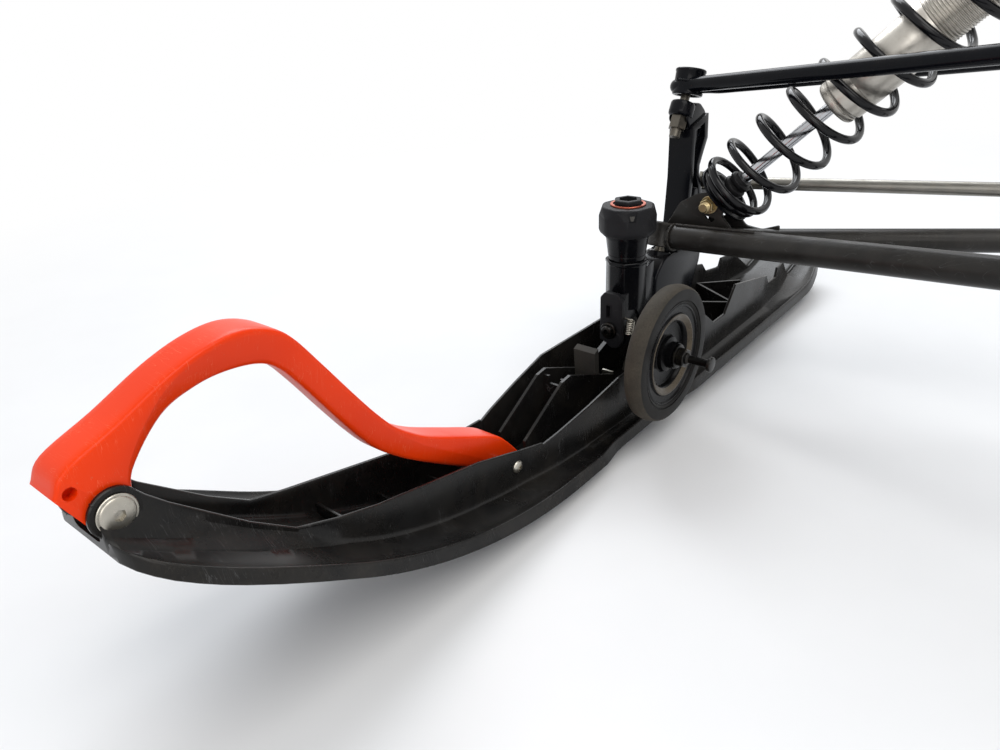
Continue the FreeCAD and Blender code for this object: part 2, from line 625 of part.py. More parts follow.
def make_ski_pan():
    pan = ski_strip(0, PAN_T).common(prism_xy(both_sides(SKI_PLAN), -2 * KEEL_DEPTH, 2 * NOSE_BOLT.z))
    inner = both_sides([(x, y - RIM_WIDTH) for x, y in SKI_PLAN])
    rim = ski_strip(0, RIM_T).common(
        prism_xy(both_sides(SKI_PLAN), -2 * KEEL_DEPTH, 2 * NOSE_BOLT.z).cut(
            prism_xy(inner, -3 * KEEL_DEPTH, 3 * NOSE_BOLT.z)))
    keel_plan = both_sides([
        (KEEL_START_X, PAN_T), (KEEL_START_X + KEEL_TAPER, KEEL_HALF), (KEEL_END_X - KEEL_TAPER, KEEL_HALF),
        (KEEL_END_X, PAN_T),
    ])
    keel = ski_strip(-KEEL_DEPTH, PAN_T / 2).common(prism_xy(keel_plan, -2 * KEEL_DEPTH, 2 * NOSE_BOLT.z))
    return joined([pan, rim, keel])


def make_ski_wall():
    # The side wall on the inboard side, with its ear for the loop's bolt.
    top = [(x, underside(x) + rise) for x, rise in WALL_RISE]
    below = []
    count = int((NOSE_X - WALL_RISE[0][0]) / SWEEP_STEP)
    for i in range(count + 1):
        x = WALL_RISE[0][0] + (NOSE_X - WALL_RISE[0][0]) * i / count
        below.append((x, underside(x)))
    side = prism_xz(below + list(reversed(top)), 0, HALF_WIDTH)
    wall = side.common(plan_between(WALL_PLAN, [(x, y - WALL_T) for x, y in WALL_PLAN]))
    ear = disc_y(NOSE_BOLT, EAR_R, EAR_HALF - WALL_T, EAR_HALF)
    wall = above_pan(joined([wall, ear]))
    holes = [
        disc_y(SKI_BOLT, SKI_BOLT_R + FIT_GAP, 0, HALF_WIDTH),
        disc_y(NOSE_BOLT, NOSE_BOLT_R + FIT_GAP, 0, HALF_WIDTH),
        disc_y(LOOP_SCREW, LOOP_SCREW_R + FIT_GAP, 0, HALF_WIDTH),
        disc_y(NOSE_BOLT, NOSE_HEAD_R + 1, EAR_HALF, HALF_WIDTH),
        disc_y(wheel_pivot(), AXLE_R + 2 * FIT_GAP + BEARING_WALL, 0, HALF_WIDTH),
    ]
    return cut(wall, holes)


def make_ski_cheek():
    # Inner plate that carries the ski bolt beside the leg.
    outline = [(-130, 20), (-100, 76), (-30, 80), (30, 60), (40, 20)]
    inner_y = LEG_HALF + CHEEK_GAP
    plate = above_pan(prism_xz(outline, inner_y, inner_y + CHEEK_T))
    return plate.cut(disc_y(SKI_BOLT, SKI_BOLT_R + FIT_GAP, 0, HALF_WIDTH))


def make_ski_box():
    # Hollow box ahead of the adjuster, closed by a notched post.
    outline = [(52, 20), (52, 55), (137, 89), (151, 87), (213, 51), (213, 20)]
    wall = prism_xz(outline, BOX_HALF, BOX_HALF + BOX_WALL)
    outer = BOX_HALF + BOX_WALL
    post = prism_yz([(-outer, 20), (outer, 20), (outer, 84), (7, 84), (7, 76), (-7, 76), (-7, 84), (-outer, 84)],
                    139, 139 + BOX_WALL)
    return above_pan(joined([wall, mirrored(wall), post]))


def make_ski_truss():
    webs = []
    half = TRUSS_T / 2
    for (x_low, y_low), (x_high, y_high) in zip(TRUSS[:-1], TRUSS[1:]):
        start = V(x_low, y_low, FLANGE_Z)
        end = V(x_high, y_high, FLANGE_Z)
        way = (end - start).normalize()
        side = V(-way.y, way.x, 0) * half
        ends = [start - way * half, end + way * half]
        corners = [ends[0] + side, ends[1] + side, ends[1] - side, ends[0] - side]
        webs.append(prism_xy([(c.x, c.y) for c in corners], FLANGE_Z, FLANGE_Z + TRUSS_TOP_RISE))
    return above_pan(joined(webs))


def make_runner():
    # Wear bar under the keel, bent up into it at both ends.
    start = V(RUNNER_START_X, 0, RUNNER_R)
    end = V(RUNNER_END_X, 0, RUNNER_R)
    body = joined([rod(start, end, RUNNER_R), Part.makeSphere(RUNNER_R, start), Part.makeSphere(RUNNER_R, end)])
    keel_z = FLANGE_Z - KEEL_DEPTH - SEAT_GAP
    return body.cut(box(TAIL_X, NOSE_X, -HALF_WIDTH, HALF_WIDTH, keel_z, FLANGE_Z))


# Side view of the handle loop's closed bar: x, z, corner radius
LOOP_SIDE = [
    (604.0, 213.0, 9.0), (599.0, 223.0, 9.0), (530.0, 253.0, 60.0), (485.0, 265.0, 60.0), (444.0, 249.0, 28.0),
    (383.0, 160.0, 40.0), (360.0, 134.0, 40.0), (338.0, 120.0, 60.0), (241.0, 70.0, 20.0), (218.0, 40.0, 4.0),
    (223.0, 29.0, 4.0), (268.0, 47.0, 20.0), (348.0, 99.0, 40.0), (374.0, 118.0, 40.0), (395.0, 142.0, 40.0),
    (448.0, 222.0, 22.0), (478.0, 240.0, 30.0), (520.0, 237.0, 40.0), (552.0, 222.0, 10.0),
    (562.0, 204.0, 10.0), (566.0, 185.0, 6.0), (590.0, 186.0, 9.0),
]


def rounded_side(corners, y):
    # A closed side-view face whose corners are arcs, no longer than the sides allow.
    places = [V(x, y, z) for x, z, radius in corners]
    arcs = []
    for i, corner in enumerate(places):
        back = places[i - 1] - corner
        ahead = places[(i + 1) % len(places)] - corner
        half_angle = back.getAngle(ahead) / 2
        run = min(corners[i][2] / math.tan(half_angle), CORNER_SHARE * min(back.Length, ahead.Length))
        radius = run * math.tan(half_angle)
        middle_way = (V(back).normalize() + V(ahead).normalize()).normalize()
        middle = corner + middle_way * (radius / math.sin(half_angle) - radius)
        arcs.append((corner + V(back).normalize() * run, middle, corner + V(ahead).normalize() * run))
    edges = []
    for i, (start, middle, end) in enumerate(arcs):
        edges.append(Part.Arc(start, middle, end).toShape())
        edges.append(Part.LineSegment(end, arcs[(i + 1) % len(arcs)][0]).toShape())
    return Part.Face(Part.Wire(edges))


def make_loop():
    body = rounded_side(LOOP_SIDE, -LOOP_HALF).extrude(V(0, 2 * LOOP_HALF, 0))
    edges = []
    for edge in body.Edges:
        ys = [vertex.Y for vertex in edge.Vertexes]
        if max(ys) - min(ys) < 0.01:
            edges.append(edge)
    body = body.makeFillet(LOOP_EDGE_R, edges)
    nose_hole = disc_y(NOSE_BOLT, NOSE_BOLT_R + FIT_GAP, -HALF_WIDTH, HALF_WIDTH)
    screw_hole = disc_y(LOOP_SCREW, LOOP_SCREW_R + FIT_GAP, -HALF_WIDTH, HALF_WIDTH)
    return body.cut(nose_hole).cut(screw_hole)


def make_cross_bolt(centre, half, shank_r, head_r, head_t, head_gap):
    shank = disc_y(centre, shank_r, -half - head_t, half + head_t)
    heads = []
    for side in (1, -1):
        low = half + head_gap
        high = half + head_t
        heads.append(disc_y(centre, head_r, min(side * low, side * high), max(side * low, side * high)))
    return joined([shank] + heads)


def wheel_pivot():
    drop = math.radians(WHEEL_ARM_DROP_DEG)
    return V(WHEEL_CENTRE.x - WHEEL_ARM * math.cos(drop), 0, WHEEL_CENTRE.z - WHEEL_ARM * math.sin(drop))


def make_wheel_crank():
    pivot = wheel_pivot()
    outer_y = WHEEL_CENTRE.y - TYRE_WIDTH / 2 - CRANK_GAP
    inner_y = outer_y - WHEEL_ARM_T
    hub = V(WHEEL_CENTRE.x, 0, WHEEL_CENTRE.z)
    way = (hub - pivot).normalize()
    side = V(-way.z, 0, way.x)
    corners = [pivot + side * 9, hub + side * 9, hub - side * 9, pivot - side * 9]
    plate = prism_xz([(c.x, c.z) for c in corners], inner_y, outer_y)
    ends = [disc_y(pivot, 11, inner_y, outer_y), disc_y(hub, 11, inner_y, outer_y)]
    shaft = disc_y(pivot, AXLE_R, WALL_HALF - 13, outer_y)
    hub_end = WHEEL_CENTRE.y + TYRE_WIDTH / 2 + 2
    axle = disc_y(hub, AXLE_R, inner_y, hub_end + 8)
    pin = disc_y(hub, 3.6, hub_end, hub_end + 37)
    nut = placed(polygon_prism(6, 17, 8), along(V(hub.x, hub_end + 0.3, hub.z), V(hub.x, hub_end + 20, hub.z)))
    knob = disc_y(hub, 7.5, hub_end + 33, hub_end + 37)
    stop = disc_y(pivot, 9, WALL_HALF - 13, WALL_HALF - 9)
    return joined([plate] + ends + [shaft, axle, pin, nut, knob, stop])


def make_wheel_bracket():
    # Bearing tube through the side wall for the swing arm's shaft.
    pivot = wheel_pivot()
    tube = disc_y(pivot, AXLE_R + FIT_GAP + BEARING_WALL, WALL_HALF - WALL_T - BEARING_WALL, WALL_HALF + 12)
    flange = disc_y(pivot, AXLE_R + FIT_GAP + 2 * BEARING_WALL, WALL_HALF + SEAT_GAP, WALL_HALF + BEARING_WALL)
    return joined([tube, flange]).cut(disc_y(pivot, AXLE_R + FIT_GAP, 0, HALF_WIDTH))


def rim_r():
    return WHEEL_R - TYRE_DEPTH


def make_wheel_tyre():
    half = TYRE_WIDTH / 2
    profile = [
        (rim_r(), -half + 2), (rim_r() + 4, -half), (WHEEL_R - 4, -half), (WHEEL_R - TREAD_CROWN, -half + 5), (WHEEL_R, 0),
        (WHEEL_R - TREAD_CROWN, half - 5), (WHEEL_R - 4, half), (rim_r() + 4, half), (rim_r(), half - 2),
    ]
    return wheel_place(turned_profile(profile))


def wheel_place(shape):
    return placed(shape, along(WHEEL_CENTRE, WHEEL_CENTRE + V(0, 1, 0)))


def make_wheel_rim():
    half = TYRE_WIDTH / 2
    seat = rim_r() - FIT_GAP
    profile = [
        (AXLE_R + FIT_GAP, -half - 1.5), (HUB_R, -half - 1.5), (HUB_R, -3), (rim_r() - 6, -3), (rim_r() - 6, -half + 2),
        (seat, -half + 2), (seat, half - 2), (rim_r() - 6, half - 2), (rim_r() - 9, 2), (HUB_R + 10, 2),
        (HUB_R + 8, half - 1), (HUB_R + 5, half - 1), (HUB_R + 3, 3), (HUB_R, 3), (HUB_R - 2, half + 2),
        (AXLE_R + FIT_GAP, half + 2),
    ]
    return wheel_place(turned_profile(profile))


def make_tie_rod():
    outer = TIE_OUTER
    way = (TIE_INNER - TIE_OUTER).normalize()
    return rod(outer + way * ROD_END_REACH, TIE_INNER - way * ROD_END_REACH, TIE_ROD_R)


def make_rod_end(centre, eye_axis, way):
    half = ROD_END_WIDTH / 2
    housing = Part.makeCylinder(ROD_END_R, ROD_END_WIDTH, centre - eye_axis * half, eye_axis)
    shank = rod(centre + way * (ROD_END_R - ROD_SHANK_SINK), centre + way * (ROD_END_REACH - FIT_GAP), ROD_SHANK_R)
    eye = Part.makeCylinder(EYE_BORE_R, 4 * ROD_END_WIDTH, centre - eye_axis * (2 * ROD_END_WIDTH), eye_axis)
    return joined([housing, shank]).cut(eye)


def make_tie_stud():
    half = ROD_END_WIDTH / 2
    nut_start = -half - STEER_ARM_GAP - STEER_ARM_T - FIT_GAP
    pieces = [
        Part.makeCylinder(EYE_BORE_R - TIE_PIN_GAP, half - nut_start + 10, V(0, 0, nut_start - 6)),
        polygon_prism(6, 15, 6, half + FIT_GAP),
        polygon_prism(6, 15, 6, nut_start - 6),
    ]
    return placed(joined(pieces), along(TIE_OUTER, TIE_OUTER + KINGPIN))


def make_ski_rubber():
    # Wedge of rubber between the leg's foot and the ski's floor.
    block = prism_xz([(-105, 24), (-15, 24), (-20, 34), (-60, 37), (-100, 34)], -15, 15)
    return moved(block, z=FLANGE_Z + PAN_T - 24 + 0.3)


def make_stop_plate():
    return prism_xz([(76, 23.5), (83, 23.5), (88, 92), (81, 95)], -13, 13)


def make_zinc_bracket():
    plate = box(50, 52.5, 0, 13, 23.3, 56.5)
    slot = box(45, 60, 4, 9, 40, 51)
    return plate.cut(slot)


def make_all():
    nodes = {}
    nodes["lower_arm"] = make_lower_arm()
    nodes["upper_arm"] = make_upper_arm()
    for name, centre in (
        ("lower_bush_front", LOWER_FRONT), ("lower_bush_rear", LOWER_REAR),
        ("upper_bush_front", UPPER_FRONT), ("upper_bush_rear", UPPER_REAR),
    ):
        nodes[name] = arm_bush(centre)
    nodes["lower_joint_race"] = joint_liner(LOWER_BALL, LOWER_STUD_AXIS)
    nodes["upper_joint_race"] = joint_liner(UPPER_BALL, KINGPIN * -1)
    nodes.update(make_shock_parts())
    nodes["shock_bolt"] = make_shock_bolt()
    nodes["spindle"] = make_spindle()
    nodes["upper_ball_stud"] = ball_stud(UPPER_BALL, UPPER_STUD_AXIS, 21, 60, 38 + FIT_GAP, 13)
    nodes["lower_ball_stud"] = ball_stud(LOWER_BALL, LOWER_STUD_AXIS, 16, 52, 36 + FIT_GAP, 10)
    for name, solid in (
        ("adjuster_column", make_column()), ("adjuster_collar", make_collar()), ("adjuster_knob", make_knob()),
        ("adjuster_hex", make_knob_hex()), ("adjuster_lever", make_lever()), ("adjuster_bolt", make_lever_bolt()),
    ):
        nodes[name] = moved(solid, x=ADJUSTER_X)
    nodes["tie_rod_tube"] = make_tie_rod()
    way = (TIE_INNER - TIE_OUTER).normalize()
    nodes["tie_rod_outer_end"] = make_rod_end(TIE_OUTER, KINGPIN, way)
    nodes["tie_rod_inner_end"] = make_rod_end(TIE_INNER, V(1, 0, 0), way * -1)
    nodes["tie_rod_bolt"] = make_tie_stud()
    nodes["ski_pan"] = make_ski_pan()
    nodes["ski_wall_inboard"] = make_ski_wall()
    nodes["ski_wall_outboard"] = mirrored(nodes["ski_wall_inboard"])
    nodes["ski_cheek_inboard"] = make_ski_cheek()
    nodes["ski_cheek_outboard"] = mirrored(nodes["ski_cheek_inboard"])
    nodes["ski_box"] = make_ski_box()
    nodes["ski_truss"] = make_ski_truss()
    nodes["ski_runner"] = make_runner()
    nodes["ski_loop"] = make_loop()
    nodes["ski_bolt"] = make_cross_bolt(SKI_BOLT, WALL_HALF, SKI_BOLT_R, 11, 8, 6 * FIT_GAP)
    nodes["loop_nose_bolt"] = make_cross_bolt(NOSE_BOLT, EAR_HALF, NOSE_BOLT_R, NOSE_HEAD_R, NOSE_HEAD_T, FIT_GAP)
    screw_half = wall_y(LOOP_SCREW.x - LOOP_SCREW_HEAD_R)
    nodes["loop_rear_screw"] = make_cross_bolt(
        LOOP_SCREW, screw_half, LOOP_SCREW_R, LOOP_SCREW_HEAD_R, LOOP_SCREW_HEAD_T, FIT_GAP)
    nodes["ski_rubber"] = make_ski_rubber()
    nodes["stop_plate"] = make_stop_plate()
    nodes["zinc_bracket"] = make_zinc_bracket()
    nodes["wheel_bracket"] = make_wheel_bracket()
    nodes["wheel_crank"] = make_wheel_crank()
    nodes["wheel_rim"] = make_wheel_rim()
    nodes["wheel_tyre"] = make_wheel_tyre()
    return nodes


os.makedirs("parts", exist_ok=True)
for node, solid in make_all().items():
    solid.translate(ORIGIN * -1)
    solid.exportStep("parts/" + node + ".step")
    print(node, len(solid.Solids), solid.isValid(), round(solid.Volume / 1000, 1), "cm3")
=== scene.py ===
import math

import bmesh
import bpy
import numpy as np
from mathutils import Matrix, Vector


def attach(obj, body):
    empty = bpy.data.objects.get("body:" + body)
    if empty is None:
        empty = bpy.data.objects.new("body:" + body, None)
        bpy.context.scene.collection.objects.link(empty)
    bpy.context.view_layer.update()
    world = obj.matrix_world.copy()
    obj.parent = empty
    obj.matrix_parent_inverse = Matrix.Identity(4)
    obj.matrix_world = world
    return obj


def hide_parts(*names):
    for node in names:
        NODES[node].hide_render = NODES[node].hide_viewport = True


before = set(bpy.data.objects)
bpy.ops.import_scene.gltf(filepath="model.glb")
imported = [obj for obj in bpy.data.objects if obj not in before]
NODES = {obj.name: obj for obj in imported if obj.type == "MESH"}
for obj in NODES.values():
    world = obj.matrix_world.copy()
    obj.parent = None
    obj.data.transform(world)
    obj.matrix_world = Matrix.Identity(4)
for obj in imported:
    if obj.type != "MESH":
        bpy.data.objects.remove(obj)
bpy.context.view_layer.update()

# Places below are written in millimetres from the ski datum: x = 0 under the knob, y = 0 on the
# ski's centre plane, z = 0 at the runner's underside. D() turns them into the frame's metres.
PIVOT = Vector((0.0, 430.0, 218.0))


def D(x, y=None, z=None):
    p = Vector(x) if y is None else Vector((x, y, z))
    return (p - PIVOT) / 1000.0


LOWER_BALL = Vector((-72, 0, 176))
UPPER_BALL = Vector((-117, 0, 333))
LOWER_FRONT = Vector((0, 430, 218))
UPPER_FRONT = Vector((28, 430, 393))
PIVOT_RISE = math.radians(6)
LOWER_SPREAD, UPPER_SPREAD = 222, 250
PIVOT_AXIS = Vector((math.cos(PIVOT_RISE), 0, math.sin(PIVOT_RISE)))
LOWER_REAR = LOWER_FRONT - PIVOT_AXIS * LOWER_SPREAD
UPPER_REAR = UPPER_FRONT - PIVOT_AXIS * UPPER_SPREAD
SHOCK_FOOT = Vector((-93, 53, 215.5))
SHOCK_HEAD = Vector((-123, 371.5, 524.5))
SPRING_END_WAY = Vector((0.136, -0.688, 0.713))
TIE_OUTER = Vector((-173, 0, 214))
SKI_BOLT = Vector((-60, 0, 62))
NOSE_BOLT = Vector((577, 0, 192))
LOOP_SCREW = Vector((248.6, 0, 49))
WHEEL_CENTRE = Vector((69.2, 85.0, 104.3))
CRANK_REACH, CRANK_RISE = 42, math.radians(35)
WHEEL_PIVOT = Vector((WHEEL_CENTRE.x - CRANK_REACH * math.cos(CRANK_RISE), 0,
                      WHEEL_CENTRE.z - CRANK_REACH * math.sin(CRANK_RISE)))
KINGPIN = (UPPER_BALL - LOWER_BALL).normalized()
UPPER_STUD = Vector((0.47, 0, -0.883)).normalized()
X = Vector((1, 0, 0))
Y = Vector((0, 1, 0))
Z = Vector((0, 0, 1))


# Materials

class Nodes:
    """A small helper that builds one material's node tree."""

    def __init__(self, name):
        self.mat = bpy.data.materials.new(name)
        self.mat.use_nodes = True
        self.tree = self.mat.node_tree
        self.tree.nodes.clear()
        self.out = self.tree.nodes.new("ShaderNodeOutputMaterial")
        self.bsdf = self.tree.nodes.new("ShaderNodeBsdfPrincipled")
        self.link(self.bsdf.outputs["BSDF"], self.out.inputs["Surface"])
        self.coord = self.tree.nodes.new("ShaderNodeTexCoord").outputs["Object"]
        self.geo = self.tree.nodes.new("ShaderNodeNewGeometry")

    def link(self, a, b):
        self.tree.links.new(a, b)

    def put(self, socket, value):
        if isinstance(value, bpy.types.NodeSocket):
            self.link(value, socket)
        else:
            socket.default_value = value

    def scaled(self, scale, turn=(0, 0, 0)):
        node = self.tree.nodes.new("ShaderNodeMapping")
        node.inputs["Scale"].default_value = scale
        node.inputs["Rotation"].default_value = turn
        self.link(self.coord, node.inputs["Vector"])
        return node.outputs["Vector"]

    def noise(self, scale, detail=3.0, rough=0.55, vector=None, distortion=0.0):
        node = self.tree.nodes.new("ShaderNodeTexNoise")
        node.inputs["Scale"].default_value = scale
        node.inputs["Detail"].default_value = detail
        node.inputs["Roughness"].default_value = rough
        node.inputs["Distortion"].default_value = distortion
        self.link(vector or self.coord, node.inputs["Vector"])
        return node.outputs["Fac"]

    def ramp(self, value, low, high, to_low=0.0, to_high=1.0):
        node = self.tree.nodes.new("ShaderNodeMapRange")
        node.clamp = True
        self.put(node.inputs["Value"], value)
        node.inputs["From Min"].default_value = low
        node.inputs["From Max"].default_value = high
        node.inputs["To Min"].default_value = to_low
        node.inputs["To Max"].default_value = to_high
        return node.outputs["Result"]

    def math(self, kind, a, b=0.0):
        node = self.tree.nodes.new("ShaderNodeMath")
        node.operation = kind
        self.put(node.inputs[0], a)
        self.put(node.inputs[1], b)
        return node.outputs[0]

    def mix(self, factor, a, b):
        node = self.tree.nodes.new("ShaderNodeMix")
        node.data_type = "RGBA"
        self.put(node.inputs[0], factor)
        for socket, value in ((node.inputs[6], a), (node.inputs[7], b)):
            self.put(socket, value if isinstance(value, bpy.types.NodeSocket) else (*value, 1.0))
        return node.outputs[2]

    def facing(self, axis):
        """How much the surface faces an axis: 1 along it, -1 away from it."""
        node = self.tree.nodes.new("ShaderNodeVectorMath")
        node.operation = "DOT_PRODUCT"
        self.link(self.geo.outputs["Normal"], node.inputs[0])
        node.inputs[1].default_value = axis
        return node.outputs["Value"]

    def bump(self, height, strength, distance, normal=None):
        node = self.tree.nodes.new("ShaderNodeBump")
        node.inputs["Strength"].default_value = strength
        node.inputs["Distance"].default_value = distance
        self.link(height, node.inputs["Height"])
        if normal is not None:
            self.link(normal, node.inputs["Normal"])
        return node.outputs["Normal"]

    def scratches(self, scale, stretch, width=0.012, turn=(0, 0, 0)):
        """Thin lines where stretched noise crosses its middle value, broken up by a wider noise."""
        stretched = self.scaled((scale, scale / stretch, scale / stretch), turn)
        line = self.noise(1.0, 2.0, 0.4, stretched)
        near = self.math("ABSOLUTE", self.math("SUBTRACT", line, 0.5))
        thin = self.ramp(near, 0.0, width, 1.0, 0.0)
        patch = self.ramp(self.noise(scale * 0.12, 2.0), 0.5, 0.62)
        return self.math("MULTIPLY", thin, patch)

    def shade(self, **values):
        names = {"color": "Base Color", "rough": "Roughness", "metal": "Metallic", "normal": "Normal",
                 "specular": "Specular IOR Level"}
        for key, value in values.items():
            socket = self.bsdf.inputs[names[key]]
            if key == "color" and not isinstance(value, bpy.types.NodeSocket):
                value = (*value, 1.0)
            self.put(socket, value)
        return self.mat


DUST = (0.155, 0.130, 0.098)
SCRATCH = (0.12, 0.12, 0.12)


def moulded_plastic(name, color, rough, grain=900.0, dust=0.5, scratch=0.35, specular=0.4, ripple=0.08):
    """Grained plastic with clouds of dust on what faces up, thin scratches and a wide change of shine."""
    n = Nodes(name)
    wide = n.noise(14.0, 4.0, 0.6)
    fine = n.noise(grain, 2.0, 0.5)
    tint = n.mix(n.ramp(wide, 0.35, 0.7), color, tuple(c * 1.7 + 0.004 for c in color))
    lines = n.scratches(420.0, 9.0)
    cloud = n.noise(22.0, 5.0, 0.65, distortion=0.6)
    speck = n.ramp(n.noise(380.0, 3.0, 0.7), 0.52, 0.72)
    upward = n.ramp(n.facing((0.1, 0.55, 0.8)), -0.3, 1.0)
    cover = n.math("MULTIPLY", n.ramp(cloud, 0.42, 0.68), upward)
    cover = n.math("MULTIPLY", cover, n.math("ADD", n.math("MULTIPLY", speck, 0.55), 0.45))
    cover = n.math("MULTIPLY", cover, dust)
    dusty = n.mix(cover, tint, DUST)
    marked = n.mix(n.math("MULTIPLY", lines, scratch), dusty, SCRATCH)
    shine = n.math("ADD", n.ramp(wide, 0.3, 0.7, rough - 0.06, rough + 0.08), n.math("MULTIPLY", cover, 0.5))
    shine = n.math("ADD", shine, n.math("MULTIPLY", lines, 0.12))
    normal = n.bump(fine, ripple, 0.0002)
    normal = n.bump(lines, ripple * 2.0, 0.0001, normal)
    return n.shade(color=marked, rough=shine, normal=normal, specular=specular)


def gloss_paint(name, color, rough, dust, specular):
    """Smooth paint with a slight orange peel, specks and some dust on what faces up."""
    n = Nodes(name)
    orange_peel = n.noise(260.0, 2.0, 0.4)
    wide = n.noise(9.0, 3.0)
    cloud = n.ramp(n.noise(30.0, 5.0, 0.7, distortion=0.5), 0.48, 0.72)
    up = n.ramp(n.facing((0, 0, 1)), -0.1, 0.9)
    cover = n.math("MULTIPLY", n.math("MULTIPLY", cloud, up), dust)
    speck = n.ramp(n.noise(620.0, 2.0, 0.6), 0.66, 0.74)
    cover = n.math("MAXIMUM", cover, n.math("MULTIPLY", speck, dust * 1.3))
    tint = n.mix(n.ramp(wide, 0.3, 0.7), color, tuple(c * 1.35 + 0.002 for c in color))
    shine = n.math("ADD", n.ramp(wide, 0.3, 0.7, rough - 0.04, rough + 0.06), n.math("MULTIPLY", cover, 0.55))
    normal = n.bump(orange_peel, 0.02, 0.0003)
    return n.shade(color=n.mix(cover, tint, DUST), rough=shine, normal=normal, specular=specular)


def metal(name, color, rough, brush, axis_scale, stain, stain_color=(0.25, 0.2, 0.14)):
    """Metal with brush lines that are fine across the axes with a high scale, and stains."""
    n = Nodes(name)
    lines = n.noise(1.0, 2.0, 0.5, n.scaled(axis_scale))
    wide = n.noise(45.0, 4.0, 0.6)
    marks = n.ramp(n.noise(120.0, 5.0, 0.7), 0.5, 0.75)
    tint = n.mix(n.ramp(wide, 0.3, 0.7), color, tuple(c * 0.82 for c in color))
    tint = n.mix(n.math("MULTIPLY", marks, stain), tint, stain_color)
    brushed = n.ramp(lines, 0.3, 0.7, rough - 0.04, rough + 0.07)
    shine = n.math("ADD", brushed, n.math("MULTIPLY", marks, stain * 0.6))
    normal = n.bump(lines, brush, 0.0002)
    return n.shade(color=tint, rough=shine, metal=1.0, normal=normal)


def rubber(name, color, rough, dust, specular=0.2):
    """Dull rubber with an uneven film of dust all round."""
    n = Nodes(name)
    fine = n.noise(700.0, 3.0, 0.6)
    wide = n.noise(35.0, 5.0, 0.65)
    cover = n.math("MULTIPLY", n.ramp(wide, 0.35, 0.65, 0.35, 1.0), dust)
    cover = n.math("MULTIPLY", cover, n.ramp(fine, 0.3, 0.6, 0.6, 1.0))
    tint = n.mix(cover, color, DUST)
    shine = n.ramp(wide, 0.3, 0.7, rough - 0.05, rough + 0.08)
    return n.shade(color=tint, rough=shine, normal=n.bump(fine, 0.2, 0.0004), specular=specular)


def red_plastic(name):
    """Smooth coloured plastic with pale scratches in two directions and dark specks."""
    n = Nodes(name)
    wide = n.noise(11.0, 3.0)
    fine = n.noise(500.0, 2.0, 0.5)
    tint = n.mix(n.ramp(wide, 0.3, 0.7), (0.86, 0.047, 0.0020), (0.78, 0.037, 0.0018))
    long_lines = n.scratches(300.0, 14.0, 0.008, (0.2, 0.5, 0.1))
    cross_lines = n.scratches(520.0, 7.0, 0.010, (0.0, 0.3, 1.1))
    lines = n.math("MAXIMUM", long_lines, cross_lines)
    tint = n.mix(n.math("MULTIPLY", lines, 0.30), tint, (0.95, 0.36, 0.20))
    speck = n.ramp(n.noise(420.0, 2.0, 0.7), 0.68, 0.76)
    tint = n.mix(n.math("MULTIPLY", speck, 0.25), tint, (0.5, 0.2, 0.12))
    shine = n.math("ADD", n.ramp(wide, 0.3, 0.7, 0.27, 0.38), n.math("MULTIPLY", lines, 0.2))
    normal = n.bump(fine, 0.05, 0.0003)
    normal = n.bump(lines, 0.3, 0.0001, normal)
    return n.shade(color=tint, rough=shine, normal=normal, specular=0.18)


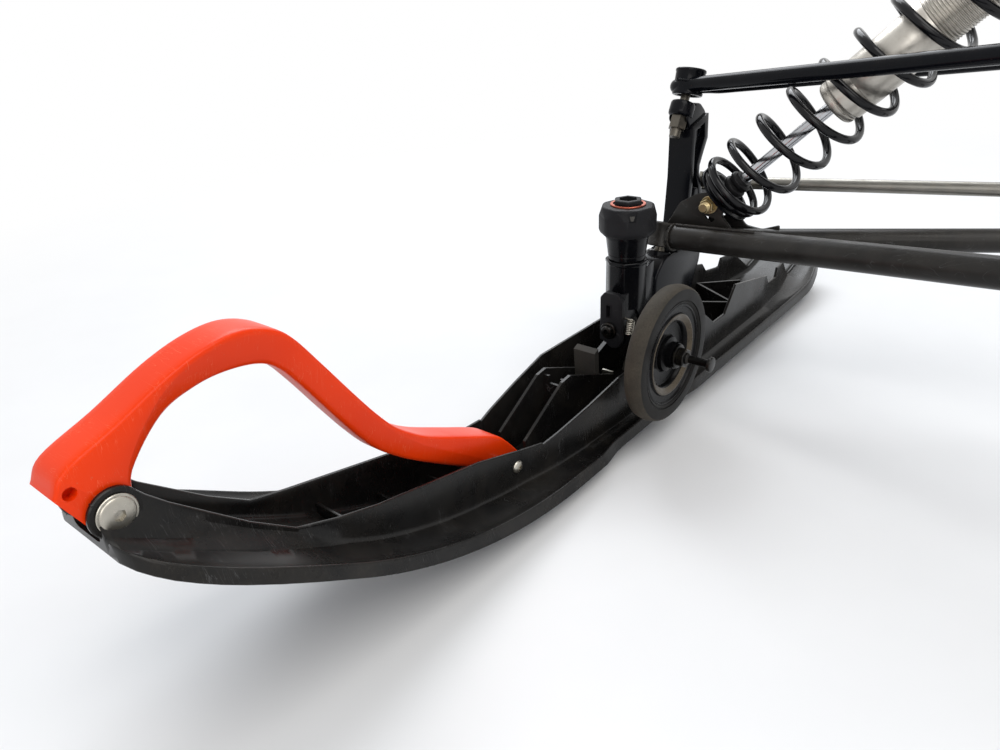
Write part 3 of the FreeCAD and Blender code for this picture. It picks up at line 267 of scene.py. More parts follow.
M = {
    "ski": moulded_plastic("ski_plastic", (0.0040, 0.0038, 0.0036), 0.25, dust=0.15, specular=0.20),
    "knob": moulded_plastic("knob_plastic", (0.0080, 0.0080, 0.0090), 0.48, grain=1300.0, dust=0.05,
                            scratch=0.12,
                            specular=0.12),
    "black": moulded_plastic("dark_plastic", (0.006, 0.006, 0.0065), 0.36, dust=0.08, scratch=0.1,
                             specular=0.16),
    "paint": gloss_paint("black_paint", (0.0016, 0.0020, 0.0034), 0.17, 0.07, 0.11),
    "satin": moulded_plastic("satin_paint", (0.0130, 0.0120, 0.0108), 0.36, grain=500.0, dust=0.22,
                             scratch=0.3,
                             specular=0.22),
    "red": red_plastic("red_orange_plastic"),
    "alu": metal("cast_aluminium", (0.50, 0.475, 0.43), 0.34, 0.10, (240, 240, 240), 0.18),
    "alu_tube": metal("drawn_aluminium", (0.27, 0.26, 0.235), 0.36, 0.1, (400, 30, 400), 0.2),
    "chrome": metal("polished_rod", (0.50, 0.51, 0.53), 0.14, 0.02, (200, 200, 200), 0.05),
    "steel": metal("stainless", (0.46, 0.435, 0.38), 0.30, 0.05, (300, 300, 300), 0.15),
    "stud_steel": metal("stud_steel", (0.115, 0.105, 0.088), 0.34, 0.06, (300, 300, 300), 0.3,
                        (0.10, 0.07, 0.045)),
    "zinc": metal("zinc_gold", (0.50, 0.40, 0.22), 0.30, 0.08, (300, 300, 300), 0.35),
    "zinc_pale": metal("zinc_pale", (0.36, 0.35, 0.31), 0.36, 0.08, (300, 300, 300), 0.3),
    "dark_steel": metal("dark_steel", (0.022, 0.0215, 0.021), 0.30, 0.06, (300, 300, 300), 0.15),
    "copper": metal("copper_ring", (0.42, 0.11, 0.07), 0.36, 0.05, (300, 300, 300), 0.1),
    "tread": rubber("tyre_rubber", (0.018, 0.0160, 0.0125), 0.72, 0.34),
    "wall": rubber("tyre_side", (0.0030, 0.0029, 0.0028), 0.42, 0.03, specular=0.10),
    "rubber": rubber("soft_rubber", (0.022, 0.0215, 0.020), 0.70, 0.16),
    "spring": gloss_paint("spring_paint", (0.0025, 0.0026, 0.0035), 0.16, 0.03, 0.24),
    "gloss_black": moulded_plastic("gloss_plastic", (0.0022, 0.0025, 0.0034), 0.20, dust=0.05, scratch=0.08,
                                   specular=0.14, ripple=0.03),
    "knob_pale": moulded_plastic("pointer_plastic", (0.055, 0.052, 0.046), 0.5, dust=0.15, scratch=0.1,
                                 specular=0.25),
    "hub_bronze": metal("hub_ring_metal", (0.085, 0.070, 0.052), 0.28, 0.05, (240, 240, 240), 0.2),
    "hub": moulded_plastic("wheel_plastic", (0.0022, 0.0022, 0.0026), 0.28, dust=0.03, scratch=0.12,
                           specular=0.10),
}

# Material: the CAD nodes that wear it
NODES_OF = {
    "satin": "lower_arm",
    "paint": "upper_arm shock_spring_seat shock_preload_ring shock_spring spindle",
    "black": "lower_bush_front lower_bush_rear upper_bush_front upper_bush_rear lower_joint_race "
             "upper_joint_race shock_top_bush adjuster_column adjuster_collar adjuster_hex adjuster_lever",
    "chrome": "shock_rod",
    "rubber": "shock_bump_stop ski_rubber stop_plate",
    "alu": "shock_body",
    "alu_tube": "tie_rod_tube",
    "zinc": "shock_bolt",
    "zinc_pale": "tie_rod_bolt ski_bolt loop_rear_screw zinc_bracket wheel_bracket",
    "stud_steel": "upper_ball_stud lower_ball_stud",
    "dark_steel": "adjuster_bolt tie_rod_outer_end tie_rod_inner_end wheel_crank",
    "steel": "ski_runner loop_nose_bolt",
    "knob": "adjuster_knob",
    "ski": "ski_pan ski_wall_inboard ski_wall_outboard ski_cheek_inboard ski_cheek_outboard ski_box "
           "ski_truss",
    "red": "ski_loop",
    "hub": "wheel_rim",
    "tread": "wheel_tyre",
}
for key, names in NODES_OF.items():
    for node_name in names.split():
        mesh = NODES[node_name].data
        mesh.materials.clear()
        mesh.materials.append(M[key])


# Mesh building

WELD = 2e-6
BEVEL_FROM = math.radians(28)


def solid_mesh(name, solid, weld):
    """A mesh of (verts, faces) in datum millimetres, with its faces turned outwards."""
    mesh = bpy.data.meshes.new(name)
    mesh.from_pydata([tuple(D(v)) for v in solid[0]], [], [tuple(f) for f in solid[1]])
    work = bmesh.new()
    work.from_mesh(mesh)
    if weld:
        bmesh.ops.remove_doubles(work, verts=work.verts, dist=WELD)
    bmesh.ops.recalc_face_normals(work, faces=work.faces)
    work.to_mesh(mesh)
    work.free()
    return mesh


def linked(name, data):
    obj = bpy.data.objects.new(name, data)
    bpy.context.scene.collection.objects.link(obj)
    return obj


def add(name, solid, body, key, smooth=32.0, bevel=0.0, segments=2, replaced=(), cuts=()):
    """A piece of one body, with its edges rounded and its cuts made."""
    obj = linked(name, solid_mesh(name, solid, weld=True))
    if bevel:
        mod = obj.modifiers.new("edge", "BEVEL")
        mod.width = bevel / 1000.0
        mod.segments = segments
        mod.limit_method = "ANGLE"
        mod.angle_limit = BEVEL_FROM
        mod.harden_normals = False
        bake(obj)
    for tool in cuts:
        carve(obj, tool)
    obj.data.materials.clear()
    obj.data.materials.append(M[key])
    obj.data.shade_smooth()
    obj.data.set_sharp_from_angle(angle=math.radians(smooth))
    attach(obj, body)
    if replaced:
        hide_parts(*replaced)
    return obj


def bake(obj):
    """Turns an object's modifiers into its mesh."""
    graph = bpy.context.evaluated_depsgraph_get()
    done = bpy.data.meshes.new_from_object(obj.evaluated_get(graph))
    obj.modifiers.clear()
    obj.data = done


def carve(obj, tool):
    """Cuts one closed (verts, faces) solid out of an object."""
    mesh = solid_mesh("cutter", tool, weld=False)
    cutter = linked("cutter", mesh)
    mod = obj.modifiers.new("cut", "BOOLEAN")
    mod.operation = "DIFFERENCE"
    mod.solver = "EXACT"
    mod.object = cutter
    bake(obj)
    bpy.data.objects.remove(cutter)
    bpy.data.meshes.remove(mesh)


def merged(parts):
    """Joins (verts, faces) pairs into one."""
    verts, faces = [], []
    for v, f in parts:
        start = len(verts)
        verts += list(v)
        faces += [tuple(i + start for i in face) for face in f]
    return verts, faces


def frame_of(axis, hint=None):
    axis = Vector(axis).normalized()
    hint = Vector(hint) if hint is not None else (Z if abs(axis.z) < 0.9 else X)
    side = hint.cross(axis).normalized()
    return side, axis.cross(side).normalized(), axis


def ring_of(centre, side, up, radius, sides, turn=0.0):
    """Points of a circle, or a polygon's corners, from the side's direction on."""
    angles = [2 * math.pi * (i + turn) / sides for i in range(sides)]
    return [centre + (side * math.cos(a) + up * math.sin(a)) * radius for a in angles]


def loft(sections, caps=(True, True), loop=False):
    """Joins rings with as many points each. A loop's last ring meets its first, so it has no caps."""
    count, rows = len(sections[0]), len(sections)
    verts = [p for section in sections for p in section]
    faces = []
    for r in range(rows if loop else rows - 1):
        q = (r + 1) % rows
        for i in range(count):
            j = (i + 1) % count
            faces.append((r * count + i, r * count + j, q * count + j, q * count + i))
    if caps[0] and not loop:
        faces.append(tuple(range(count))[::-1])
    if caps[1] and not loop:
        faces.append(tuple(range((rows - 1) * count, rows * count)))
    return verts, faces


def lathe(start, axis, profile, sides=48, loop=False):
    """A closed solid of revolution: profile is (radius, height) from one end of the axis to the other."""
    side, up, axis = frame_of(axis)
    rings = [ring_of(Vector(start) + axis * height, side, up, radius, sides) for radius, height in profile]
    return loft(rings, (profile[0][0] > 0, profile[-1][0] > 0), loop)


def ring_lathe(start, axis, profile, sides=48):
    """A ring: the profile of (radius, height) closes on itself."""
    return lathe(start, axis, profile, sides, True)


def sweep(points, radii, sides=20, loop=False):
    """A round bar along points, with one radius for all or one for each."""
    points = [Vector(p) for p in points]
    if not isinstance(radii, (list, tuple)):
        radii = [radii] * len(points)
    count = len(points)
    ahead = []
    for i in range(count):
        a = points[i - 1] if (i or loop) else points[0]
        b = points[(i + 1) % count] if (i < count - 1 or loop) else points[-1]
        ahead.append((b - a).normalized())
    side = frame_of(ahead[0])[0]
    sections = []
    for i in range(count):
        side = (side - ahead[i] * side.dot(ahead[i])).normalized()
        sections.append(ring_of(points[i], side, ahead[i].cross(side), radii[i], sides))
    return loft(sections, loop=loop)


def cylinder(centre, axis, low, high, radius, sides):
    """A round bar, often a drill, between two places along an axis."""
    return sweep([centre + axis * low, centre + axis * high], radius, sides)


# The two axes of an outline, and the axis along which it is drawn out
PLANE_AXES = {"xz": (0, 2, 1), "xy": (0, 1, 2), "yz": (1, 2, 0)}


def flat(outline, plane, height):
    """An outline given in two of the axes, at a place along the third."""
    points = []
    for a, b in outline:
        p = Vector()
        for axis, value in zip(PLANE_AXES[plane], (a, b, height)):
            p[axis] = value
        points.append(p)
    return points


def prism(outline, plane, low, high):
    return loft([flat(outline, plane, low), flat(outline, plane, high)])


def ring_prism(outer, inner, plane, low, high):
    """A closed frame between two outlines with as many corners each."""
    rings = ((outer, low), (outer, high), (inner, high), (inner, low))
    return loft([flat(line, plane, height) for line, height in rings], loop=True)


def smooth_line(points, steps):
    """Points on a Catmull-Rom curve through the given ones."""
    points = [np.array(p, dtype=float) for p in points]
    ends = [2 * points[0] - points[1]] + points + [2 * points[-1] - points[-2]]
    result = []
    for i in range(1, len(ends) - 2):
        a, b, c, d = ends[i - 1:i + 3]
        for k in range(steps):
            t = k / steps
            result.append(0.5 * (2 * b + (c - a) * t + (2 * a - 5 * b + 4 * c - d) * t * t
                                 + (3 * b - a - 3 * c + d) * t ** 3))
    result.append(points[-1])
    return result


def hex_bar(start, axis, across, low, high, chamfer, hint=None, sides=6):
    """A hexagon with its corners turned down at both ends."""
    side, up, axis = frame_of(axis, hint)
    corner = across / 2 / math.cos(math.pi / sides)
    rows = ((low, 0.9), (low + chamfer * 0.6, 1.0), (high - chamfer * 0.6, 1.0), (high, 0.9))
    return loft([ring_of(Vector(start) + axis * height, side, up, corner * share, sides, 0.5)
                 for height, share in rows])


# The ski's moulded body

FLANGE_Z, BEND_X, BEND_R, BEND = 18.0, 200.0, 500.0, math.radians(32)
TAIL_BEND_X, TAIL_BEND_R = -340.0, 420.0
TAIL_X, NOSE_X = -487.0, 588.0
EAR_R, EAR_HALF, EAR_EDGE, SKI_WALL_T = 15.5, 19.5, 0.8, 3.5


def under_z(x):
    """Height of the ski's underside."""
    if x < TAIL_BEND_X:
        return FLANGE_Z + TAIL_BEND_R - math.sqrt(TAIL_BEND_R ** 2 - (TAIL_BEND_X - x) ** 2)
    if x < BEND_X:
        return FLANGE_Z
    end = BEND_X + BEND_R * math.sin(BEND)
    if x < end:
        return FLANGE_Z + BEND_R - math.sqrt(BEND_R ** 2 - (x - BEND_X) ** 2)
    return FLANGE_Z + BEND_R * (1 - math.cos(BEND)) + (x - end) * math.tan(BEND)


# Along the ski: (place, half width of the flange)
PLAN = [(-487, 30), (-485, 38), (-480, 46), (-473, 52), (-465, 56.5), (-450, 62.5), (-434, 67), (-417, 70.5),
        (-400, 73.4), (-385, 75), (-30, 75), (-12, 73), (0, 70.8), (14, 70.2), (122, 70.2), (136, 70.8),
        (148, 73), (160, 75), (496, 75), (520, 73.8), (540, 71.3), (553, 68.3), (563, 64.6), (573, 59),
        (580, 52), (585, 44), (588, 33)]
# (place, outer face of the side wall)
WALLS = [(-405, 32), (-347, 42), (-272, 49), (-100, 50), (99, 50), (149, 47), (195, 42.5), (240, 35.5),
         (296, 32.5), (370, 33), (408, 33.5), (444, 31.5), (476, 28.5), (505, 25.5), (548, 19.5), (588, 19.5)]
# (place, height of the side wall over the underside)
RISES = [(-405, 12), (-366, 46), (-334, 48), (-329, 36), (-293, 40), (-282, 53), (-177, 74), (-150, 44),
         (-120, 44), (-95, 62), (98, 62), (214, 38.5), (215.5, 40.5), (242, 43.5), (296, 51), (408, 39),
         (444, 30), (475, 21), (505, 24.5), (548, 36), (559, 41)]
PLAN_X, PLAN_Y = zip(*PLAN)
WALL_X, WALL_Y = zip(*WALLS)
TOPS = [(x, under_z(x) + rise) for x, rise in RISES]
for ear_deg in range(150, 40, -10):
    TOPS.append((NOSE_BOLT.x + EAR_R * math.cos(math.radians(ear_deg)),
                 NOSE_BOLT.z + EAR_R * math.sin(math.radians(ear_deg))))
TOP_X, TOP_Z = zip(*TOPS)


def ski_section(x):
    """One closed ring round the ski at x, from the middle of the floor's top and round the underside."""
    low = under_z(x)
    half = float(np.interp(x, PLAN_X, PLAN_Y))
    wall = float(np.interp(x, WALL_X, WALL_Y))
    tall = max(float(np.interp(x, TOP_X, TOP_Z)) - low, 9.0) if x >= -405 else 9.0
    if x < -405:
        wall = min(wall, half - 14)
    keel = 9.0 * float(np.interp(x, [-330, -300, 340, 400], [0.0, 1, 1, 0]))
    # At the nose the wall's foot spreads out into the flange.
    spread = float(np.interp(x, [440, 510, 560, 588], [0.0, 14.0, 15.0, 8.0]))
    edge = half - 6.0
    foot = min(wall + 1.0 + spread, edge - 4.0)
    gutter = foot + 0.42 * (edge - foot)
    high = min(13.5, tall - 1.6)
    right = [
        (0.0, 5.0), (wall * 0.45, 5.0), (wall - 9.5, 5.0), (wall - 6.5, 5.6), (wall - 4.6, 7.2),
        (wall - 3.8, min(10.5, tall - 1.2)), (wall - 3.6, 10.5 + (tall - 11.5) * 0.5),
        (wall - 3.4, tall - 1.2), (wall - 2.9, tall - 0.3), (wall - 2.0, tall), (wall - 0.8, tall - 0.15),
        (wall - 0.1, tall - 0.9), (wall, high + (tall - high) * 0.55), (wall + 0.25 + spread * 0.45, high),
        (foot - 0.4, min(10.2, high)), (foot + 0.9, 8.6), (gutter, 6.9), ((gutter + edge) / 2, 7.3),
        (edge - 2.2, 8.7), (edge - 0.6, 10.4), (edge + 0.5, 11.1), (edge + 1.6, 11.0), (edge + 2.5, 10.1),
        (edge + 3.2, 8.6), (half - 1.5, 4.4), (half - 0.5, 1.7), (half, 0.7), (half - 0.7, 0.1),
        (half - 2.2, 0.0), (max(half * 0.62, 17.0), 0.0), (15.6, 0.0), (13.6, -0.6 * min(keel, 1.0)),
        (12.2, -keel + 0.9 * min(keel, 1.0)), (11.0, -keel), (0.0, -keel),
    ]
    ring = [Vector((x, y, low + z)) for y, z in right]
    ring += [Vector((x, -y, low + z)) for y, z in reversed(right[1:-1])]
    return ring


def ski_stations():
    fixed = set(PLAN_X + WALL_X) | {x for x in TOP_X if x < NOSE_X}
    fixed |= {-328.2, -333.4, -281.2}
    steps = np.concatenate([np.arange(-484, 200, 9.0), np.arange(200, 586, 6.0)])
    xs = sorted(fixed | {float(v) for v in steps})
    kept = [xs[0]]
    for v in xs[1:]:
        if v - kept[-1] > 0.45:
            kept.append(v)
    return kept


ski_parts = [loft([ski_section(x) for x in ski_stations()])]
for sign in (1, -1):
    ears = sorted((sign * (EAR_HALF - SKI_WALL_T), sign * EAR_HALF))
    ear_rows = [(EAR_R - EAR_EDGE, 0), (EAR_R, EAR_EDGE), (EAR_R, SKI_WALL_T - EAR_EDGE),
                (EAR_R - EAR_EDGE, SKI_WALL_T)]
    ski_parts.append(lathe((NOSE_BOLT.x, ears[0], NOSE_BOLT.z), Y, ear_rows))
add("ski_moulding", merged(ski_parts), "ski", "ski", smooth=38,
    replaced=["ski_pan", "ski_wall_inboard", "ski_wall_outboard"])


RIB_T, RIB_SINK = 3.0, 1.0


def cross_rib(x, half, low, high):
    """A low rib across the floor."""
    return prism([(-half, low), (half, low), (half, high), (-half, high)], "yz", x - RIB_T / 2, x + RIB_T / 2)


inner = [cross_rib(x, 44, 20, 34) for x in (-200, -245, -300)]
for x in (300, 360, 420):
    floor_z = under_z(x) + 4.0
    inner.append(cross_rib(x, float(np.interp(x, WALL_X, WALL_Y)) - RIB_SINK, floor_z, floor_z + 12))
add("ski_inner_ribs", merged(inner), "ski", "ski", bevel=0.7)


# The handle loop

# (x, z) of the bar's upper and lower edge, row by row from the nose to the screw
LOOP_OUTER = [(603, 213), (594, 226), (562, 239), (528, 254), (500, 262), (476, 263), (456, 256), (442, 244),
              (424, 219), (402, 187), (384, 162), (368, 143), (350, 128), (330, 115), (292, 96), (252, 76),
              (236, 62), (221, 44)]
LOOP_INNER = [(590, 187), (566, 186), (560, 207), (536, 230), (512, 238), (490, 239), (468, 235), (454, 226),
              (440, 208), (418, 175), (400, 149), (384, 129), (366, 113), (346, 98), (306, 72), (268, 49),
              (248, 39.5), (226, 31)]
# How far the flat side reaches inward from the top edge, as a share of the bar's depth, at each row above
LOOP_FLAT = [0.96, 0.96, 0.80, 0.22, 0.10, 0.10, 0.10, 0.10, 0.10, 0.10, 0.10, 0.12, 0.2, 0.35, 0.6, 0.8,
             0.9, 0.96]
LOOP_HALF = 15.4


def loop_section(outer, inward, flat):
    outer, inward = Vector((outer[0], 0, outer[1])), Vector((inward[0], 0, inward[1]))
    middle = (outer + inward) / 2
    way = (outer - inward)
    half = way.length / 2
    way.normalize()
    top, low = half, -half
    crease = top - 2.8 - max(flat, 0.02) * (2 * half - 6.4)
    lean = 4.2 * min(1.0, (crease - low) / (2 * half) * 1.25)
    side = LOOP_HALF - lean
    right = [(0.0, top), (LOOP_HALF * 0.55, top - 0.05), (LOOP_HALF - 2.6, top - 0.15),
             (LOOP_HALF - 1.3, top - 0.55), (LOOP_HALF - 0.4, top - 1.4), (LOOP_HALF, top - 2.6),
             (LOOP_HALF, crease + 0.4), (LOOP_HALF - 0.12, crease - 0.3), (side + lean * 0.1, low + 4.2),
             (side - 0.3, low + 2.8), (side - 1.2, low + 1.2), (side - 2.8, low + 0.3), (side - 4.6, low),
             (0.0, low)]
    ring = [middle + way * b + Y * a for a, b in right]
    ring += [middle + way * b - Y * a for a, b in reversed(right[1:-1])]
    return ring


loop_rows = smooth_line([(*o, *i, f) for o, i, f in zip(LOOP_OUTER, LOOP_INNER, LOOP_FLAT)], 6)
loop_rings = [loop_section(row[:2], row[2:4], float(row[4])) for row in loop_rows]
side_hole = cylinder(Vector((594.5, 0, 213)), Y, 8, 17, 4.0, 20)
add("handle_loop", loft(loop_rings), "ski", "red", smooth=38, replaced=["ski_loop"],
    cuts=[side_hole])


# Bolts

def domed_bolt(centre, axis, low, radius, height, socket, washer):
    """A dome with a washer below it and a hexagon socket on top, and the solid that cuts the socket."""
    centre, axis = Vector(centre), Vector(axis)
    rows = []
    if washer:
        rows += [(washer - 0.5, 0.0), (washer, 0.3), (washer, 1.2), (washer - 0.4, 1.6), (radius + 0.3, 1.6)]
    base = 1.6 if washer else 0.0
    for i in range(9):
        a = math.radians(90) * i / 9
        rows.append((radius * math.cos(a * 0.92), base + (height - base) * math.sin(a)))
    rows.append((socket * 0.5, height))
    start = centre + axis * low
    return (lathe(start, axis, rows, 40),
            hex_bar(start, axis, socket * 2, height - SOCKET_DEPTH, height + 3, 0.0))


# The shock

SHOCK_WAY = (SHOCK_HEAD - SHOCK_FOOT).normalized()
SHOCK_LONG = (SHOCK_HEAD - SHOCK_FOOT).length
SPRING_R, SPRING_WIRE_R, SPRING_PITCH, SPRING_CLOSED_PITCH = 38.0, 4.05, 37.6, 8.5
SPRING_LOW, SPRING_TRAVEL = 17.1, 308.8
# Turns that lie close, and turns over which the end widens to the full radius
SPRING_CLOSED, SPRING_TAPER, SPRING_END_R = 1.36, 1.6, 30.0
SPRING_STEPS = 64


def spring_points():
    start = (SPRING_END_WAY - SHOCK_WAY * SPRING_END_WAY.dot(SHOCK_WAY)).normalized()
    across = SHOCK_WAY.cross(start)
    turns = SPRING_CLOSED + (SPRING_TRAVEL - SPRING_CLOSED_PITCH * SPRING_CLOSED) / SPRING_PITCH
    points = []
    count = int(turns * SPRING_STEPS)
    for i in range(count + 1):
        t = turns * i / count
        over = t - SPRING_CLOSED
        gain = (SPRING_PITCH - SPRING_CLOSED_PITCH) * (
            over if over > 0.2 else max(over + 0.2, 0.0) ** 2 / 0.8)
        rise = SPRING_CLOSED_PITCH * t + gain
        a = 2 * math.pi * t
        radius = SPRING_END_R + (SPRING_R - SPRING_END_R) * min(t / SPRING_TAPER, 1.0)
        points.append(SHOCK_FOOT + SHOCK_WAY * (SPRING_LOW + rise)
                      + (start * math.cos(a) + across * math.sin(a)) * radius)
    return points


add("coil_spring", sweep(spring_points(), SPRING_WIRE_R, 18), "suspension", "spring", smooth=60,
    replaced=["shock_spring"])


eye_across = X.cross(SHOCK_WAY).normalized()
body_rows = [(0, 159), (6.25, 159), (6.25, 149), (19.6, 149), (20.9, 149.4), (22.2, 150.6), (22.9, 152.2),
             (22.9, 155.4), (22.4, 155.9), (22.4, 157.2), (23.4, 158.6), (24.2, 159.4), (24.4, 160.6),
             (24.4, 178), (24.25, 178.4), (24.25, 179.4), (24.4, 179.8), (24.4, 252), (23.7, 253.2)]
THREAD_TURNS, THREAD_START, THREAD_PITCH = 38, 254.0, 2.6
for turn_no in range(THREAD_TURNS):
    z = THREAD_START + THREAD_PITCH * turn_no
    body_rows += [(23.5, z), (24.35, z + 0.9), (24.35, z + 1.2), (23.5, z + 2.1)]
body_rows += [(24.4, 354), (24.4, SHOCK_LONG - 40), (22, SHOCK_LONG - 34), (14, SHOCK_LONG - 26),
              (12.5, SHOCK_LONG - 20), (12, SHOCK_LONG - 10), (0, SHOCK_LONG - 10)]
EYE_HALF = 13
top_eye = ring_lathe(SHOCK_HEAD - X * EYE_HALF, X, [
    (8, 0.5), (8.6, 0), (12.4, 0), (13, 0.6), (13, 25.4), (12.4, 26), (8.6, 26), (8, 25.5)], 40)
add("shock_damper", merged([lathe(SHOCK_FOOT, SHOCK_WAY, body_rows, 56), top_eye]), "suspension", "alu",
    smooth=40, replaced=["shock_body"])
rod_eye = ring_lathe(SHOCK_FOOT - X * EYE_HALF, X, [
    (5.1, 0.4), (5.5, 0), (12.3, 0), (13, 0.7), (13, 25.3), (12.3, 26), (5.5, 26), (5.1, 25.6)], 40)
rod_rows = [(0, 8), (8.2, 8), (9, 12), (9, 21), (8.2, 21.9), (6.2, 22), (6.2, 158.9), (0, 158.9)]
add("damper_rod", merged([lathe(SHOCK_FOOT, SHOCK_WAY, rod_rows, 40), rod_eye]), "suspension", "chrome",
    smooth=40, replaced=["shock_rod"])
seat_rows = [(9.1, 15.6), (20.4, 15.6), (23.2, 12.4), (23.7, 10.2), (33.0, 10.2), (33.9, 10.7), (33.9, 12.4),
             (33.2, 12.9), (25.7, 12.9), (25.4, 14.4), (22.8, 17.2), (21.8, 17.6), (9.1, 17.6)]
add("spring_seat", ring_lathe(SHOCK_FOOT, SHOCK_WAY, seat_rows, 48), "suspension", "paint", smooth=34,
    replaced=["shock_spring_seat"])
bump_rows = [(6.3, 22.1), (12.6, 22.1), (13.2, 22.9), (13.2, 26.4), (12.6, 27.4), (11.0, 28.2), (10.8, 29.4),
             (11.6, 30.6), (12.5, 31.6), (12.5, 34.4), (11.6, 35.6), (9.9, 36.3), (9.6, 37.4), (9.6, 38.9),
             (6.3, 38.9)]
add("bump_stop", ring_lathe(SHOCK_FOOT, SHOCK_WAY, bump_rows, 40), "suspension", "black", smooth=34,
    replaced=["shock_bump_stop"])
ring_rows = [(24.45, 330.3), (43, 330.3), (43.1, 331), (43.1, 337.8), (42.2, 338.4), (30, 342.2),
             (24.45, 342.2)]
NOTCHES, NOTCH_R, NOTCH_OUT = 8, 4.2, 44
notches = [cylinder(place, SHOCK_WAY, 328, 345, NOTCH_R, 16)
           for place in ring_of(SHOCK_FOOT, eye_across, X, NOTCH_OUT, NOTCHES)]
add("preload_ring", ring_lathe(SHOCK_FOOT, SHOCK_WAY, ring_rows, 56), "suspension", "paint", smooth=34,
    replaced=["shock_preload_ring"], cuts=notches)

# The lower bolt: a washer, a nut and a long threaded end in front, a head behind
BOLT_REACH = 18.0
THREADED_END = [(0, -3), (4.9, -3), (4.9, 15.6), (4.3, 16.4), (0, 16.4)]
HEAD_END = [(0, 0), (4.9, 0), (4.9, 3), (0, 3)]
pieces = []
for side, rows in ((1, THREADED_END), (-1, HEAD_END)):
    start = SHOCK_FOOT + X * (side * BOLT_REACH)
    way = X * side
    pieces.append(lathe(start, way, [(5.0, 0.1), (9.3, 0.1), (9.6, 0.4), (9.6, 1.5), (9.2, 1.85),
                                    (5.0, 1.85)], 36))
    pieces.append(hex_bar(start, way, 14.0, 1.9, 9.3, 1.2))
    pieces.append(lathe(start, way, rows, 28))
pieces.append(cylinder(SHOCK_FOOT, X, -BOLT_REACH, BOLT_REACH, 4.98, 28))
tip = SHOCK_FOOT + X * BOLT_REACH
for i in range(5):
    z = 9.6 + 1.25 * i
    pieces.append(ring_lathe(tip, X, [(4.7, z), (5.3, z + 0.4), (5.3, z + 0.6), (4.7, z + 1.0)], 28))
add("shock_pivot_bolt", merged(pieces), "suspension", "zinc", smooth=34, replaced=["shock_bolt"])


# The arms

def tube_rows(length, r, wall, chamfer=0.7):
    inner = r - wall
    return [(inner, chamfer), (inner + chamfer, 0), (r - chamfer, 0), (r, chamfer), (r, length - chamfer),
            (r - chamfer, length), (inner + chamfer, length), (inner, length - chamfer)]


def bead(points, radius=1.7):
    """A weld bead: a bar whose thickness ripples along its run."""
    line = smooth_line(points, 14)
    radii = [radius * (0.86 + 0.16 * math.cos(i * 1.7)) for i in range(len(line))]
    radii[0] = radii[-1] = radius * 0.4
    return sweep(line, radii, 10)


def ring_bead(centre, axis, r, radius=1.7):
    side, up, axis = frame_of(axis)
    line, radii = [], []
    for i in range(72):
        a = 2 * math.pi * i / 72
        line.append(Vector(centre) + (side * math.cos(a) + up * math.sin(a)) * r)
        radii.append(radius * (0.88 + 0.14 * math.cos(i * 1.75)))
    return sweep(line, radii, 10, loop=True)


def cup(centre, axis):
    """A ball joint's housing, closed at the far end: rings at both rims, the ball's room open at the near end."""
    rows = [(0, 0.6), (14.2, 0.6), (15.6, 0), (16.4, 0.8), (16.5, 2.6), (15.9, 3.8), (15.9, 23.4),
            (16.5, 24.4), (16.3, 26.2), (15.4, 27.0), (13.6, 27.0), (13.05, 26.4), (13.05, 2.2), (0, 2.2)]
    return lathe(centre - axis * 13.5, axis, rows, 48)


PIVOT_LENGTH, PIVOT_R, PIVOT_WALL, BORE_REACH = 44, 15.0, 3.0, 40


def arm_pivot(centre):
    start = centre - PIVOT_AXIS * (PIVOT_LENGTH / 2)
    return ring_lathe(start, PIVOT_AXIS, tube_rows(PIVOT_LENGTH, PIVOT_R, PIVOT_WALL))


def pivot_bore(centre):
    """The drill that opens a pivot tube through the arm's tube."""
    return cylinder(centre, PIVOT_AXIS, -BORE_REACH, BORE_REACH, PIVOT_R - PIVOT_WALL, 40)


PLATE_SHARED = [(52, 229.5), (60, 226), (66, 220), (70, 213), (67, 205), (82, 189), (100, 187), (119, 194),
                (119, 186)]
NEAR_PLATE = [(4, 189), (18, 214), (36, 225), *PLATE_SHARED, (4, 184)]
FAR_PLATE = [(38, 205), (38, 222), (44, 227), *PLATE_SHARED, (38, 184)]


def rounded(outline, radius, steps=4, keep=()):
    """The outline with its corners turned into arcs."""
    points = []
    count = len(outline)
    for i in range(count):
        p = Vector((*outline[i], 0))
        a = Vector((*outline[i - 1], 0)) - p
        b = Vector((*outline[(i + 1) % count], 0)) - p
        if i in keep:
            points.append(tuple(outline[i]))
            continue
        run = min(radius, 0.42 * a.length, 0.42 * b.length)
        start, end = p + a.normalized() * run, p + b.normalized() * run
        for k in range(steps + 1):
            t = k / steps
            q = start * (1 - t) ** 2 + p * (2 * t * (1 - t)) + end * t ** 2
            points.append((q.x, q.y))
    return points


lower_low = LOWER_BALL + Vector((0, 0, -2))
lower_back = LOWER_BALL + Vector((-11, 48, -2))
bolt_hole = cylinder(SHOCK_FOOT, X, -60, 60, 5.05, 32)
window = prism(rounded([(46, 204), (61, 201), (55, 195)], 2.5), "yz", -140, -60)
FRONT_TUBE_R, REAR_TUBE_R, UPPER_TUBE_R = 14.0, 12.0, 7.8
lower_tubes = merged([sweep([lower_low + Vector((0, 12, 1.2)), LOWER_FRONT], FRONT_TUBE_R, 44),
                      sweep([lower_back, LOWER_REAR], REAR_TUBE_R, 40)])
add("lower_arm_tubes", lower_tubes, "suspension", "satin", smooth=34, replaced=["lower_arm"],
    cuts=[pivot_bore(centre) for centre in (LOWER_FRONT, LOWER_REAR)])
plates = []
for outline, low in ((NEAR_PLATE, SHOCK_FOOT.x + 14), (FAR_PLATE, SHOCK_FOOT.x - 18)):
    plates.append(prism(rounded(outline, 3.0), "yz", low, low + 4))
plates.append(prism(rounded([(-66, 22), (-55, 118), (-112, 118), (-112, 40), (-84, 40)], 6), "xy",
                    183, 186.5))
